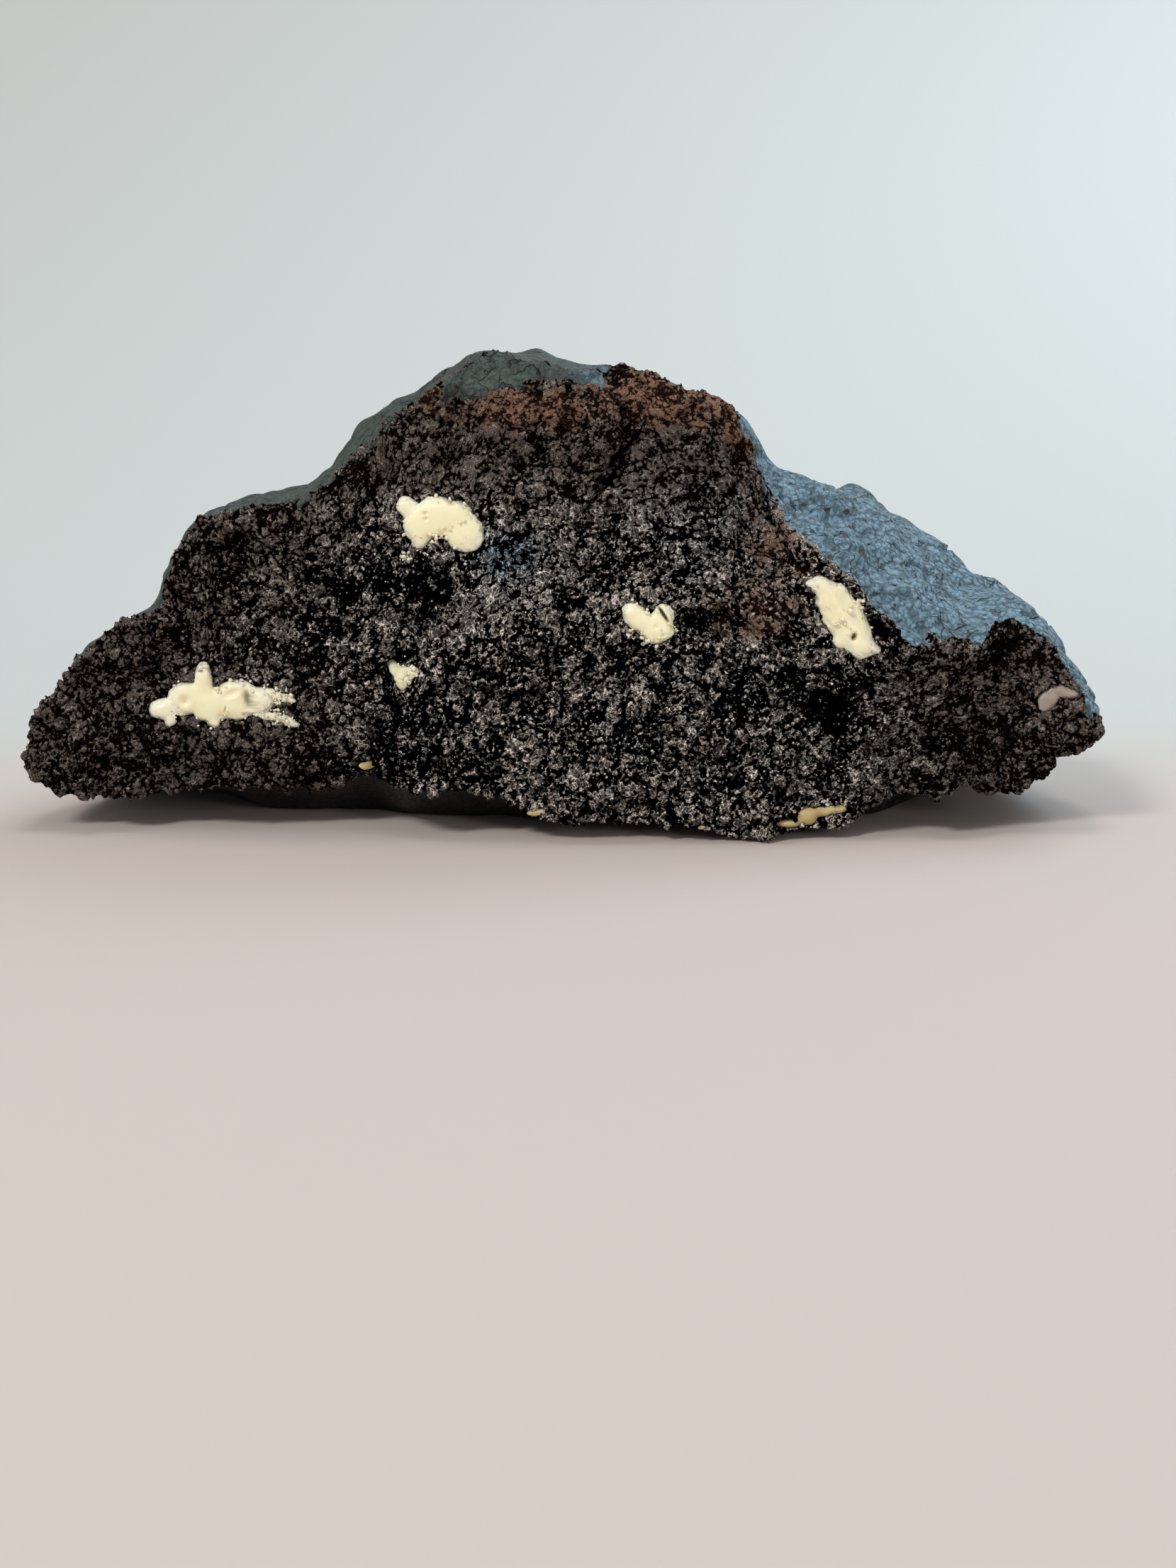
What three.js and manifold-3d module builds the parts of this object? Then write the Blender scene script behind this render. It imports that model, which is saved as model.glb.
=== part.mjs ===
// One half of a large cookies and cream cookie, torn in two by hand. It rests on its baked
// underside. The torn face looks along -Y and shows dark crumb with pale chunks of chocolate
// in it; the baked skin closes the top, the ends and the back. Millimetres, +Z up.

import * as THREE from "three";
import Module from "manifold-3d";
import { mergeVertices } from "three/addons/utils/BufferGeometryUtils.js";

// ---- Driving dimensions ------------------------------------------------------------------

const HALF_WIDTH = 49;           // of the baked mound, along the tear
const MOUND_DEPTH = 43;          // from the tear back to the rim
const CROWN_TOP = 46.6;          // of the heap in the middle, above the underside
const FACE_TO_ORIGIN = 21;       // the origin lies on the underside, this far behind y = 0
const LOBE_BLEND = 2.8;          // softness of the seam between two heaps at the torn face
const BACK_BLEND = 6.5;          // what is added to it towards the back
const RIM_ROUNDING = 2.0;        // where the skin turns under onto the baking sheet
const CHUNK_CLEARANCE = 0.3;     // between a chunk and the pocket it sits in

// Relief of the baked skin and of the torn crumb: size of a bump and its height.
const SKIN_RELIEF = [[10.0, 1.2], [4.6, 0.8]];
const CRUMB_RELIEF = [[6.5, 1.7], [3.4, 1.4]];

// The mesh: slices fan out from a line this far under the sheet, parallel to the Y axis.
const HINGE_DEPTH = 50;
const SLICES = 70;
const FACE_STEPS = 22;           // vertices down the torn face in one slice
const SKIN_STEPS = 34;           // vertices from its top edge over the back to its lower edge
const SEARCH_R = [HINGE_DEPTH - 2, 110];   // the stretch of a slice that can meet dough
const SEARCH_Y = [-12, 58];
const CHUNK_SEGMENTS = 20;
const CHUNK_RINGS = 8;

// Heaps of dough that melted together in the oven: centre and radii.
const LOBES = [
  { at: [0, 8, 2], radii: [HALF_WIDTH, MOUND_DEPTH, 26] },              // the mound
  { at: [-3.6, 8, CROWN_TOP - 23], radii: [20.9, 25, 23] },            // the crown
  { at: [-17, 7, 30.6], radii: [7, 12, 9.3] },
  { at: [6.5, 4, 33], radii: [9.5, 14, 12.3] },
  { at: [13, 4, 31.2], radii: [7.6, 12, 10.8] },
  { at: [-21, 8, 20.5], radii: [9.5, 16, 14] },                        // left shoulder
  { at: [-31, 7, 17], radii: [8, 15, 7] },
  { at: [-27, 6, 23.6], radii: [12.9, 18, 9.4] },
  { at: [-39.5, 3, 7], radii: [13.4, 15, 12.4] },                      // left foot
  { at: [-45.2, 3, 3.5], radii: [7.8, 12, 6] },
  { at: [-41.3, 4, 13.9], radii: [6.2, 11, 6.8] },
  { at: [22, 11, 14], radii: [15, 21, 21] },                           // right shelf
  { at: [30, 16, 10.8], radii: [15, 23, 20] },
  { at: [43.2, 8, 8.4], radii: [10.5, 15, 13.8] },                     // right end
  { at: [47, 2, 9], radii: [6.8, 9, 6.5] },
  { at: [-17, 25, 8], radii: [21, 20, 18] },                           // the back
  { at: [14, 28, 6], radii: [23, 18, 18] },
  { at: [0, 40, 6], radii: [16, 11, 10] },
  { at: [-31, 20, 5], radii: [15, 15, 12] },
  { at: [30, 25, 5], radii: [15, 15, 12] },
];

// Hollows (and, with a negative depth, swells) in the torn face: place, half size, depth.
const HOLLOWS = [
  { x: -40.3, z: 14.5, rx: 1.5, rz: 1.8, depth: 2.6 },
  { x: -13.5, z: 20.8, rx: 3.2, rz: 3.2, depth: 1.2 },
  { x: 12.3, z: 20.3, rx: 1.4, rz: 1.6, depth: 2.2 },
  { x: 26.0, z: 12.4, rx: 4.2, rz: 3.0, depth: 2.6 },
  { x: 30.5, z: 15.4, rx: 3.0, rz: 2.2, depth: 1.4 },
  { x: 43.6, z: 18.0, rx: 2.4, rz: 1.7, depth: 2.4 },
  { x: 31.0, z: 19.9, rx: 1.3, rz: 1.4, depth: 2.4 },
  { x: 39.0, z: 8.8, rx: 5.5, rz: 2.4, depth: 2.0 },
  { x: -32.3, z: 27.6, rx: 1.9, rz: 1.9, depth: 1.6 },
  { x: 2.6, z: 30.6, rx: 3.0, rz: 1.1, depth: 1.2 },
  { x: -5.4, z: 18.3, rx: 7.5, rz: 4.0, depth: -1.6 },
  { x: 8.0, z: 7.0, rx: 16.0, rz: 8.0, depth: -1.4 },
  { x: -12.0, z: 8.0, rx: 4.5, rz: 6.0, depth: -0.9 },
  { x: 14.0, z: 30.0, rx: 8.0, rz: 8.0, depth: -0.9 },
  { x: -42.0, z: 6.0, rx: 8.0, rz: 5.0, depth: -1.0 },
];

// Cracks in the torn face: both ends, half width, depth.
const CRACKS = [
  { from: [-16.6, 18.0], to: [-18.0, 5.5], width: 1.1, depth: 2.2 },
  { from: [6.2, 40.6], to: [5.1, 34.0], width: 0.9, depth: 2.4 },
  { from: [13.4, 20.6], to: [18.6, 16.0], width: 1.0, depth: 1.3 },
  { from: [-16.6, 27.8], to: [-12.0, 22.5], width: 2.0, depth: 1.4 },
  { from: [-11.0, 13.4], to: [-2.6, 13.0], width: 1.1, depth: 1.2 },
  { from: [-2.6, 13.0], to: [2.4, 15.2], width: 1.0, depth: 1.1 },
  { from: [9.3, 12.6], to: [9.0, 6.6], width: 1.0, depth: 1.1 },
  { from: [27.9, 8.6], to: [32.4, 5.4], width: 1.1, depth: 1.1 },
];

// The torn lower edge curls up from the sheet: a slow part and single rises along X.
const EDGE_RISES = [
  { x: -20, width: 2.6, height: 2.3 },
  { x: 6, width: 9, height: 1.9 },
  { x: 24, width: 4, height: 1.1 },
  { x: 34, width: 3, height: 0.6 },
  { x: 39.5, width: 1.8, height: 1.4 },
  { x: 46, width: 5, height: 1.8 },
  { x: 52, width: 5, height: 3.2 },
];

// Chunks in the torn face. A chunk is a few soft blobs melted together, each given by its
// offset from the chunk's centre and its radii, both along the face.
const CHUNKS = [
  {
    name: "white_chunk_upper", x: -12.1, z: 30.35, thick: 2.3, proud: 1.6,
    blobs: [
      { at: [-2.2, -0.1], radii: [1.55, 1.85] },
      { at: [-0.3, 0.9], radii: [2.4, 1.75] },
      { at: [-3.5, 1.75], radii: [0.85, 1.05] },
      { at: [1.3, 0.8], radii: [1.9, 1.5] },
      { at: [2.35, -0.9], radii: [1.95, 1.9] },
      { at: [-0.5, -0.3], radii: [1.2, 1] },
      { at: [-2, -1.7], radii: [0.7, 0.55] },
    ],
  },
  {
    name: "white_chunk_middle", x: 8.2, z: 21.05, thick: 1.9, proud: 1.4,
    blobs: [
      { at: [-1.6, 0.9], radii: [1.1, 1] },
      { at: [-0.7, 0.1], radii: [1.4, 1.05] },
      { at: [0.8, -0.6], radii: [1.65, 1.4] },
      { at: [1.4, 0.6], radii: [1, 1.2] },
    ],
  },
  {
    name: "white_chunk_right", x: 27.3, z: 21.65, thick: 2.2, proud: 1.5,
    blobs: [
      { at: [-0.1, -0.1], radii: [2.1, 2] },
      { at: [-1.1, 1.5], radii: [1.75, 1.7] },
      { at: [-2.3, 2.85], radii: [1.05, 1] },
      { at: [-3.4, 3.1], radii: [0.6, 0.4] },
      { at: [0.9, -1.6], radii: [1.9, 1.8] },
      { at: [1.8, -3.1], radii: [1.35, 1.25] },
      { at: [3.2, -3.45], radii: [0.7, 0.42] },
      { at: [-0.4, -2.6], radii: [0.7, 0.65] },
    ],
  },
  {
    name: "white_chunk_left", x: -35, z: 12.7, thick: 2.2, proud: 1.6,
    blobs: [
      { at: [-5.2, -0.75], radii: [1.5, 1.05] },
      { at: [-4.4, -1.9], radii: [0.6, 0.7] },
      { at: [-2.8, 0.3], radii: [1.75, 1.65] },
      { at: [-1.05, 1.9], radii: [0.9, 2.1] },
      { at: [-0.4, -0.3], radii: [1.9, 1.8] },
      { at: [0, -2.1], radii: [0.75, 0.6] },
      { at: [2.2, 0.15], radii: [2.4, 2] },
      { at: [4.6, 0.1], radii: [1.4, 1.4] },
    ],
  },
  {
    name: "white_chip_small", x: -15.8, z: 15.75, thick: 1.3, proud: 0.9,
    blobs: [
      { at: [-0.15, -0.2], radii: [1, 1] },
      { at: [0.9, 0.3], radii: [0.65, 0.6] },
      { at: [-1.3, 0.7], radii: [0.4, 0.6] },
      { at: [0, -1], radii: [0.4, 0.45] },
    ],
  },
  {
    name: "dull_chip_right_end", x: 48.6, z: 13.3, thick: 1.2, proud: 0.7,
    blobs: [
      { at: [-0.7, -0.15], radii: [1.1, 0.9] },
      { at: [0.35, 0.8], radii: [1, 0.55] },
      { at: [1.4, 0.35], radii: [1, 0.5] },
      { at: [-1, -0.9], radii: [0.5, 0.45] },
    ],
  },
  {
    name: "golden_drip", x: 24.1, z: 2.2, thick: 1.4, proud: 0.9, colour: "golden",
    blobs: [
      { at: [-0.35, 0], radii: [0.95, 0.9] },
      { at: [1.05, 0.45], radii: [1, 0.5] },
      { at: [2.6, 0.7], radii: [1, 0.45] },
      { at: [-2.2, -0.7], radii: [1.3, 0.45] },
    ],
  },
];
const CHUNK_BLEND = 0.55;        // softness of the seam between two blobs of a chunk

// Crumbs that hang at the lower right end of the face: centre and radius.
const HANGING_CRUMBS = [
  { at: [43.5, -1.5, 6.2], radius: 2.7 },
  { at: [47.4, -1.0, 6.4], radius: 2.1 },
  { at: [51.2, -0.5, 10.0], radius: 2.4 },
];

// ---- Colours -----------------------------------------------------------------------------

const material = (hex, roughness) =>
  new THREE.MeshStandardMaterial({ color: hex, roughness, metalness: 0 });
const MATERIALS = {
  dough: material(0x2a221f, 0.75),
  white: material(0xeee3b8, 0.45),
  golden: material(0xc79a4b, 0.5),
};

// ---- Small numerical tools ---------------------------------------------------------------

const ease = (low, high, value) => {
  const t = Math.min(Math.max((value - low) / (high - low), 0), 1);
  return t * t * (3 - 2 * t);
};

// The smaller of two distances, rounded where they are closer than the blend.
const softMin = (a, b, blend) => {
  const h = Math.min(Math.max(0.5 + (0.5 * (b - a)) / blend, 0), 1);
  return b * (1 - h) + a * h - blend * h * (1 - h);
};

const softMax = (a, b, blend) => -softMin(-a, -b, blend);

// A repeatable random number between 0 and 1 for each corner of a unit lattice.
const cornerValue = (i, j, k) => {
  const wave = Math.sin(i * 127.1 + j * 311.7 + k * 74.7) * 43758.5453;
  return wave - Math.floor(wave);
};

// Smooth noise between -1 and 1: lattice values blended over each unit cell.
const noise = (x, y, z) => {
  const [i, j, k] = [Math.floor(x), Math.floor(y), Math.floor(z)];
  const [u, v, w] = [x - i, y - j, z - k].map((t) => t * t * (3 - 2 * t));
  let sum = 0;
  for (let a = 0; a < 2; a++) {
    for (let b = 0; b < 2; b++) {
      for (let c = 0; c < 2; c++) {
        const weight = (a ? u : 1 - u) * (b ? v : 1 - v) * (c ? w : 1 - w);
        sum += weight * cornerValue(i + a, j + b, k + c);
      }
    }
  }
  return 2 * sum - 1;
};

const relief = (layers, x, y, z) =>
  layers.reduce((sum, [size, height]) => sum + height * noise(x / size, y / size, z / size), 0);

// Nearly the distance to an ellipsoid: negative inside.
const ellipsoidDistance = (dx, dy, dz, [rx, ry, rz]) => {
  const unit = Math.hypot(dx / rx, dy / ry, dz / rz);
  const slope = Math.hypot(dx / rx ** 2, dy / ry ** 2, dz / rz ** 2) + 1e-9;
  return (unit * (unit - 1)) / slope;
};

// ---- The form of the cookie --------------------------------------------------------------

// How far the crumb's relief is calmed beside a chunk: 0 clear of all, 1 on a chunk.
const nearChunk = (x, z) => {
  let near = 0;
  for (const chunk of CHUNKS) {
    for (const { at: [dx, dz], radii: [rx, rz] } of chunk.blobs) {
      const reach = Math.hypot((x - chunk.x - dx) / (rx + 1.2), (z - chunk.z - dz) / (rz + 1.2));
      near = Math.max(near, 1 - ease(0.7, 1.25, reach));
    }
  }
  return near;
};

// The torn face as a height field y(x, z), without crumb: a shallow swell that leans back at
// the crown, a step beside the gully, hollows and cracks.
const tornSwell = (x, z) => {
  let y = -3.0 - 5.5 * Math.exp(-(((x - 10) / 30) ** 2)) * Math.exp(-((z / 34) ** 2)) + 0.06 * z;
  y += 3.0 * Math.exp(-(((x + 5) / 9) ** 2)) * ease(41, 47.5, z);
  y += 1.3 * (1 - ease(-19.5, -15.5, x)) * (1 - ease(20, 30, z));
  const xw = x + 0.7 * Math.sin(0.9 * z + 1) + 0.35 * Math.sin(2.1 * z);
  const zw = z + 0.6 * Math.sin(0.8 * x) + 0.3 * Math.sin(1.9 * x + 1);
  for (const h of HOLLOWS) {
    y += h.depth * Math.exp(-(((xw - h.x) / h.rx) ** 2) - ((zw - h.z) / h.rz) ** 2);
  }
  for (const { from: [x0, z0], to: [x1, z1], width, depth } of CRACKS) {
    const [ux, uz] = [x1 - x0, z1 - z0];
    const along = ((xw - x0) * ux + (zw - z0) * uz) / (ux * ux + uz * uz);
    const t = Math.min(Math.max(along, 0), 1);
    const off = (xw - x0 - t * ux) ** 2 + (zw - z0 - t * uz) ** 2;
    y += depth * Math.exp(-off / width ** 2);
  }
  return y;
};

const tornFace = (x, z) =>
  tornSwell(x, z) + relief(CRUMB_RELIEF, x, 40, z) * (1 - 0.85 * nearChunk(x, z));

// Distance to the baked outside, underside included: negative in the dough. Waves that grow
// towards the back keep the heaps from being plain balls.
const bakedDistance = (x, y, z) => {
  const wave = 0.15 + 0.85 * ease(4, 26, y);
  const bendX = 0.9 * Math.sin(0.31 * y + 0.23 * z + 0.6) + 0.4 * Math.sin(0.62 * z - 0.41 * y);
  const bendY = 1.3 * Math.sin(0.24 * x + 0.19 * z + 1.1) + 0.6 * Math.sin(0.53 * x - 0.37 * z);
  const bendZ = 0.9 * Math.sin(0.27 * x - 0.22 * y + 2) + 0.5 * Math.sin(0.58 * x + 0.49 * y);
  const [px, py, pz] = [x + wave * bendX, y + wave * bendY, z + wave * bendZ];
  const blend = LOBE_BLEND + BACK_BLEND * ease(4, 26, y);
  let distance = 1e3;
  for (const { at: [cx, cy, cz], radii } of LOBES) {
    distance = softMin(distance, ellipsoidDistance(px - cx, py - cy, pz - cz, radii), blend);
  }
  return softMax(distance - relief(SKIN_RELIEF, x, y, z), -z, RIM_ROUNDING);
};

// How far the torn lower edge has curled up at a point. The curl dies away behind the face,
// later at the two ends, and with height.
const curl = (x, y, z) => {
  let rise = 4.5 * (1 - ease(-9, 2, x)) - 1.2 * (1 - ease(-44, -32, x)) + 3.6 * ease(25, 33, x);
  for (const r of EDGE_RISES) {
    rise += r.height * Math.exp(-(((x - r.x) / r.width) ** 2));
  }
  const reach = 12 + 26 * ease(30, 46, Math.abs(x));
  const behind = 1 - ease(0, 1, (y - tornSwell(x, 0)) / reach);
  return rise * behind * Math.max(1 - z / 22, 0) ** 2;
};

// ---- The dough's mesh --------------------------------------------------------------------

// A point of one slice: r along the slice from the hinge line, y across it.
const onSlice = (angle, y, r) => [r * Math.cos(angle), y, r * Math.sin(angle) - HINGE_DEPTH];
const tornY = (angle, r) => tornFace(r * Math.cos(angle), r * Math.sin(angle) - HINGE_DEPTH);
const bakedAt = (angle, y, r) => bakedDistance(...onSlice(angle, y, r));
const insideAt = (angle, y, r) => Math.max(bakedAt(angle, y, r), tornY(angle, r) - y);

// The middle of a slice's cut through the dough, and whether the slice meets any.
const sliceCentre = (angle) => {
  let [weight, sumY, sumR] = [0, 0, 0];
  for (let r = SEARCH_R[0]; r < SEARCH_R[1]; r += 1.5) {
    for (let y = SEARCH_Y[0]; y < SEARCH_Y[1]; y += 2) {
      const share = Math.min(Math.max(0.5 - insideAt(angle, y, r) / 1.5, 0), 1);
      weight += share;
      sumY += share * y;
      sumR += share * r;
    }
  }
  const [y, r] = [sumY / weight, sumR / weight];
  return { y, r, filled: weight > 0 && insideAt(angle, y, r) < -0.3 };
};

// Lowest and highest r at which a slice meets the torn face, or null where it meets none.
const faceSpan = (angle) => {
  const depthAt = (r) => bakedAt(angle, tornY(angle, r), r);
  const edge = (inside, outside) => {
    for (let i = 0; i < 24; i++) {
      const middle = (inside + outside) / 2;
      if (depthAt(middle) < 0) inside = middle;
      else outside = middle;
    }
    return inside;
  };
  const step = 0.25;
  let [low, high] = [null, null];
  for (let r = SEARCH_R[0]; r < SEARCH_R[1]; r += step) {
    if (depthAt(r) < 0) {
      low ??= r;
      high = r;
    }
  }
  return low === null ? null : [edge(low, low - step), edge(high, high + step)];
};

// Walks from the slice's centre in a direction until it meets the outside.
const walkOut = (angle, centre, direction) => {
  const [dy, dr] = [Math.cos(direction), Math.sin(direction)];
  let t = 80;
  for (let i = 0; i < 90; i++) {
    t = Math.max(t - 0.6 * insideAt(angle, centre.y + t * dy, centre.r + t * dr), 0.01);
  }
  return onSlice(angle, centre.y + t * dy, centre.r + t * dr);
};

// Points over the skin and underside, evenly spaced between two directions that the torn
// face's edges already hold. A first round of walks measures the way along the outline.
const evenWalk = (angle, centre, start, end) => {
  const probes = 3 * SKIN_STEPS;
  const directions = [];
  const travelled = [0];
  let last = null;
  for (let i = 0; i <= probes; i++) {
    directions.push(start + (end - start) * (i / probes));
    const point = walkOut(angle, centre, directions[i]);
    if (last) travelled.push(travelled[i - 1] + Math.hypot(...point.map((v, k) => v - last[k])));
    last = point;
  }
  const points = [];
  let probe = 0;
  for (let i = 1; i < SKIN_STEPS; i++) {
    const wanted = (travelled[probes] * i) / SKIN_STEPS;
    while (travelled[probe + 1] < wanted) probe++;
    const share = (wanted - travelled[probe]) / (travelled[probe + 1] - travelled[probe]);
    const direction = directions[probe] + share * (directions[probe + 1] - directions[probe]);
    points.push(walkOut(angle, centre, direction));
  }
  return points;
};

// One closed loop: up the torn face, then over the skin and back along the underside.
const sliceLoop = (angle, corners) => {
  const centre = sliceCentre(angle);
  const span = faceSpan(angle);
  const turnTo = (r) => Math.atan2(r - centre.r, tornY(angle, r) - centre.y);
  let [low, high] = corners;
  if (span) {
    [low, high] = span.map(turnTo);
    if (low < 0) low += 2 * Math.PI;
    if (high < 0) high += 2 * Math.PI;
  }
  const loop = [];
  for (let i = 0; i < FACE_STEPS; i++) {
    const share = i / (FACE_STEPS - 1);
    if (span) {
      const r = span[0] + (span[1] - span[0]) * share;
      loop.push(onSlice(angle, tornY(angle, r), r));
    } else {
      loop.push(walkOut(angle, centre, low + (high - low) * share));
    }
  }
  loop.push(...evenWalk(angle, centre, high, low - 2 * Math.PI));
  for (const point of loop) {
    if (Math.abs(point[2]) < 2e-3) point[2] = 0;
    point[2] += curl(...point);
  }
  return { loop, corners: [low, high] };
};

// The outermost slice angle, left or right of the middle, that still meets the dough.
const lastAngle = (direction) => {
  let [inside, outside] = [Math.PI / 2, Math.PI / 2 + direction * 0.9];
  for (let i = 0; i < 16; i++) {
    const middle = (inside + outside) / 2;
    if (sliceCentre(middle).filled) inside = middle;
    else outside = middle;
  }
  return inside;
};

// A closed geometry from loops of equal length: a skin between them and a cap on each end.
const loftGeometry = (loops) => {
  const size = loops[0].length;
  const positions = loops.flat(2);
  const indices = [];
  for (let s = 0; s < loops.length - 1; s++) {
    for (let i = 0; i < size; i++) {
      const next = (i + 1) % size;
      const [a, b] = [s * size + i, s * size + next];
      const [c, d] = [a + size, b + size];
      indices.push(a, c, b, b, c, d);
    }
  }
  for (const [loop, first, flip] of [[loops[0], 0, true], [loops.at(-1), loops.length - 1, false]]) {
    const middle = positions.length / 3;
    for (let axis = 0; axis < 3; axis++) {
      positions.push(loop.reduce((sum, point) => sum + point[axis], 0) / size);
    }
    for (let i = 0; i < size; i++) {
      const [a, b] = [first * size + i, first * size + ((i + 1) % size)];
      if (flip) indices.push(middle, a, b);
      else indices.push(middle, b, a);
    }
  }
  const geometry = new THREE.BufferGeometry();
  geometry.setAttribute("position", new THREE.Float32BufferAttribute(positions, 3));
  geometry.setIndex(indices);
  return geometry;
};

// Slices crowd towards both ends, where the outline turns fastest.
const doughGeometry = () => {
  const [left, right] = [lastAngle(1), lastAngle(-1)];
  const angles = [];
  for (let i = 0; i < SLICES; i++) {
    const share = i / (SLICES - 1);
    const crowded = 0.5 - 0.5 * Math.cos(Math.PI * share);
    angles.push(left + (right - left) * (0.35 * crowded + 0.65 * share));
  }
  const middle = SLICES >> 1;
  const loops = new Array(SLICES);
  for (const direction of [-1, 1]) {
    let corners = [Math.PI, Math.PI];
    for (let i = middle; i >= 0 && i < SLICES; i += direction) {
      const slice = sliceLoop(angles[i], corners);
      loops[i] = slice.loop;
      corners = slice.corners;
    }
  }
  return loftGeometry(loops);
};

// ---- Chunks and hanging crumbs -----------------------------------------------------------

// Distance to a chunk from a point given by its offsets from the chunk's centre.
const chunkDistance = (chunk, dx, dy, dz) => {
  let distance = 1e3;
  for (const { at: [bx, bz], radii: [rx, rz] } of chunk.blobs) {
    const thick = chunk.thick * Math.min(1, 0.45 + 0.4 * Math.min(rx, rz));
    const blob = ellipsoidDistance(dx - bx, dy, dz - bz, [rx, thick, rz]);
    distance = softMin(distance, blob, CHUNK_BLEND);
  }
  return distance;
};

// A ball whose vertices move out to the chunk's surface, or by `grow` beyond it. The chunk
// follows the swell of the torn face and stands out of it by its `proud` height.
const chunkGeometry = (chunk, grow) => {
  const ball = new THREE.SphereGeometry(1, CHUNK_SEGMENTS, CHUNK_RINGS);
  const place = ball.attributes.position;
  const point = new THREE.Vector3();
  for (let i = 0; i < place.count; i++) {
    point.fromBufferAttribute(place, i).normalize();
    let t = 9;
    for (let n = 0; n < 60; n++) {
      t -= 0.8 * (chunkDistance(chunk, point.x * t, point.y * t, point.z * t) - grow);
    }
    point.multiplyScalar(t);
    const middle = tornSwell(chunk.x + 0.5 * point.x, chunk.z + 0.5 * point.z);
    const y = middle + point.y + chunk.thick - chunk.proud;
    place.setXYZ(i, chunk.x + point.x, y, chunk.z + point.z);
  }
  return ball;
};

// A lumpy ball of crumb.
const crumbGeometry = ({ at: [cx, cy, cz], radius }) => {
  const ball = new THREE.IcosahedronGeometry(radius, 3);
  const place = ball.attributes.position;
  for (let i = 0; i < place.count; i++) {
    const [x, y, z] = [place.getX(i) + cx, place.getY(i) + cy, place.getZ(i) + cz];
    const swell = 1 + 0.34 * noise(x / 1.9, y / 1.9, z / 1.9);
    place.setXYZ(i, cx + (x - cx) * swell, cy + (y - cy) * swell, cz + (z - cz) * swell);
  }
  return ball;
};

// ---- Assembly ----------------------------------------------------------------------------

const wasm = await Module();
wasm.setup();

const solidFrom = (geometry) => {
  geometry.deleteAttribute("normal");
  geometry.deleteAttribute("uv");
  const merged = mergeVertices(geometry, 1e-4);
  return new wasm.Manifold(new wasm.Mesh({
    numProp: 3,
    vertProperties: new Float32Array(merged.attributes.position.array),
    triVerts: new Uint32Array(merged.index.array),
  }));
};

const meshFrom = (name, solid, look) => {
  const { vertProperties, triVerts } = solid.getMesh();
  const geometry = new THREE.BufferGeometry();
  geometry.setAttribute("position", new THREE.BufferAttribute(vertProperties, 3));
  geometry.setIndex(new THREE.BufferAttribute(triVerts, 1));
  const mesh = new THREE.Mesh(geometry, look);
  mesh.name = name;
  return mesh;
};

const cookie = new THREE.Group();
cookie.position.y = -FACE_TO_ORIGIN;

let dough = solidFrom(doughGeometry());
for (const crumb of HANGING_CRUMBS) {
  dough = dough.add(solidFrom(crumbGeometry(crumb)));
}
for (const chunk of CHUNKS) {
  dough = dough.subtract(solidFrom(chunkGeometry(chunk, CHUNK_CLEARANCE)));
  const look = chunk.colour === "golden" ? MATERIALS.golden : MATERIALS.white;
  cookie.add(meshFrom(chunk.name, solidFrom(chunkGeometry(chunk, 0)), look));
}
cookie.add(meshFrom("cookie_dough", dough, MATERIALS.dough));

export default cookie;
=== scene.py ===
import itertools
import math

import bmesh
import bpy
import numpy as np
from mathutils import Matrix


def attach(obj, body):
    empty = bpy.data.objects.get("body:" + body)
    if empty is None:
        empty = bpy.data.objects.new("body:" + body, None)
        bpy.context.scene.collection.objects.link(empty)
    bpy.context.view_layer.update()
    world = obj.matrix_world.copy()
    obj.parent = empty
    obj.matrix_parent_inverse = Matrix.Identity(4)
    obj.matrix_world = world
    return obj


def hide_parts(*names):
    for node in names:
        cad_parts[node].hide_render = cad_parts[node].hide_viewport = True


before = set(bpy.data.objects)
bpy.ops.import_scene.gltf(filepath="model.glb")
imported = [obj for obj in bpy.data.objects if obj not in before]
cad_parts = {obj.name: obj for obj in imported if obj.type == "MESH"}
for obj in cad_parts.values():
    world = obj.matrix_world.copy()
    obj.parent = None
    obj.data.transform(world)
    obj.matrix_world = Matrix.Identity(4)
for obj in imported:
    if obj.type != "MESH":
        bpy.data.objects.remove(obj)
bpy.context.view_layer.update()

# ---- Table top, backdrop, light and camera ----
# A pale sheet of board lies flat under the cookie and curves up behind it. Large soft boxes
# light it from the left, the front and above, and a cooler one from the right and behind.

MM = 0.001  # shapes are worked out in millimetres
FACE_TO_ORIGIN = 21.0  # mm from y = 0 of the torn face back to the origin
SHEET_HALF_WIDTH = 1.6  # m
SHEET_FRONT, SHEET_BACK = -1.2, 0.12  # m, the flat part
SHEET_CURVE, SHEET_TOP = 0.8, 1.8  # m
FLOOR_COLOUR, WALL_COLOUR = (0.585, 0.50, 0.46), (0.56, 0.57, 0.545)
BOARD_FLECKS = (0.45, 0.44, 0.43)
WALL_FROM = (-0.03, 0.07)  # m, where the floor's colour passes into the wall's
CAMERA_PITCH = math.radians(10.0)  # looking down
CAMERA_LENS, SENSOR_LONG_SIDE = 50.0, 36.0
IMAGE_HEIGHT = 2212
MM_PER_PIXEL = 0.07  # at the target
CAMERA_TARGET = (2.3, -5.0 - FACE_TO_ORIGIN, 5.0)
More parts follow.
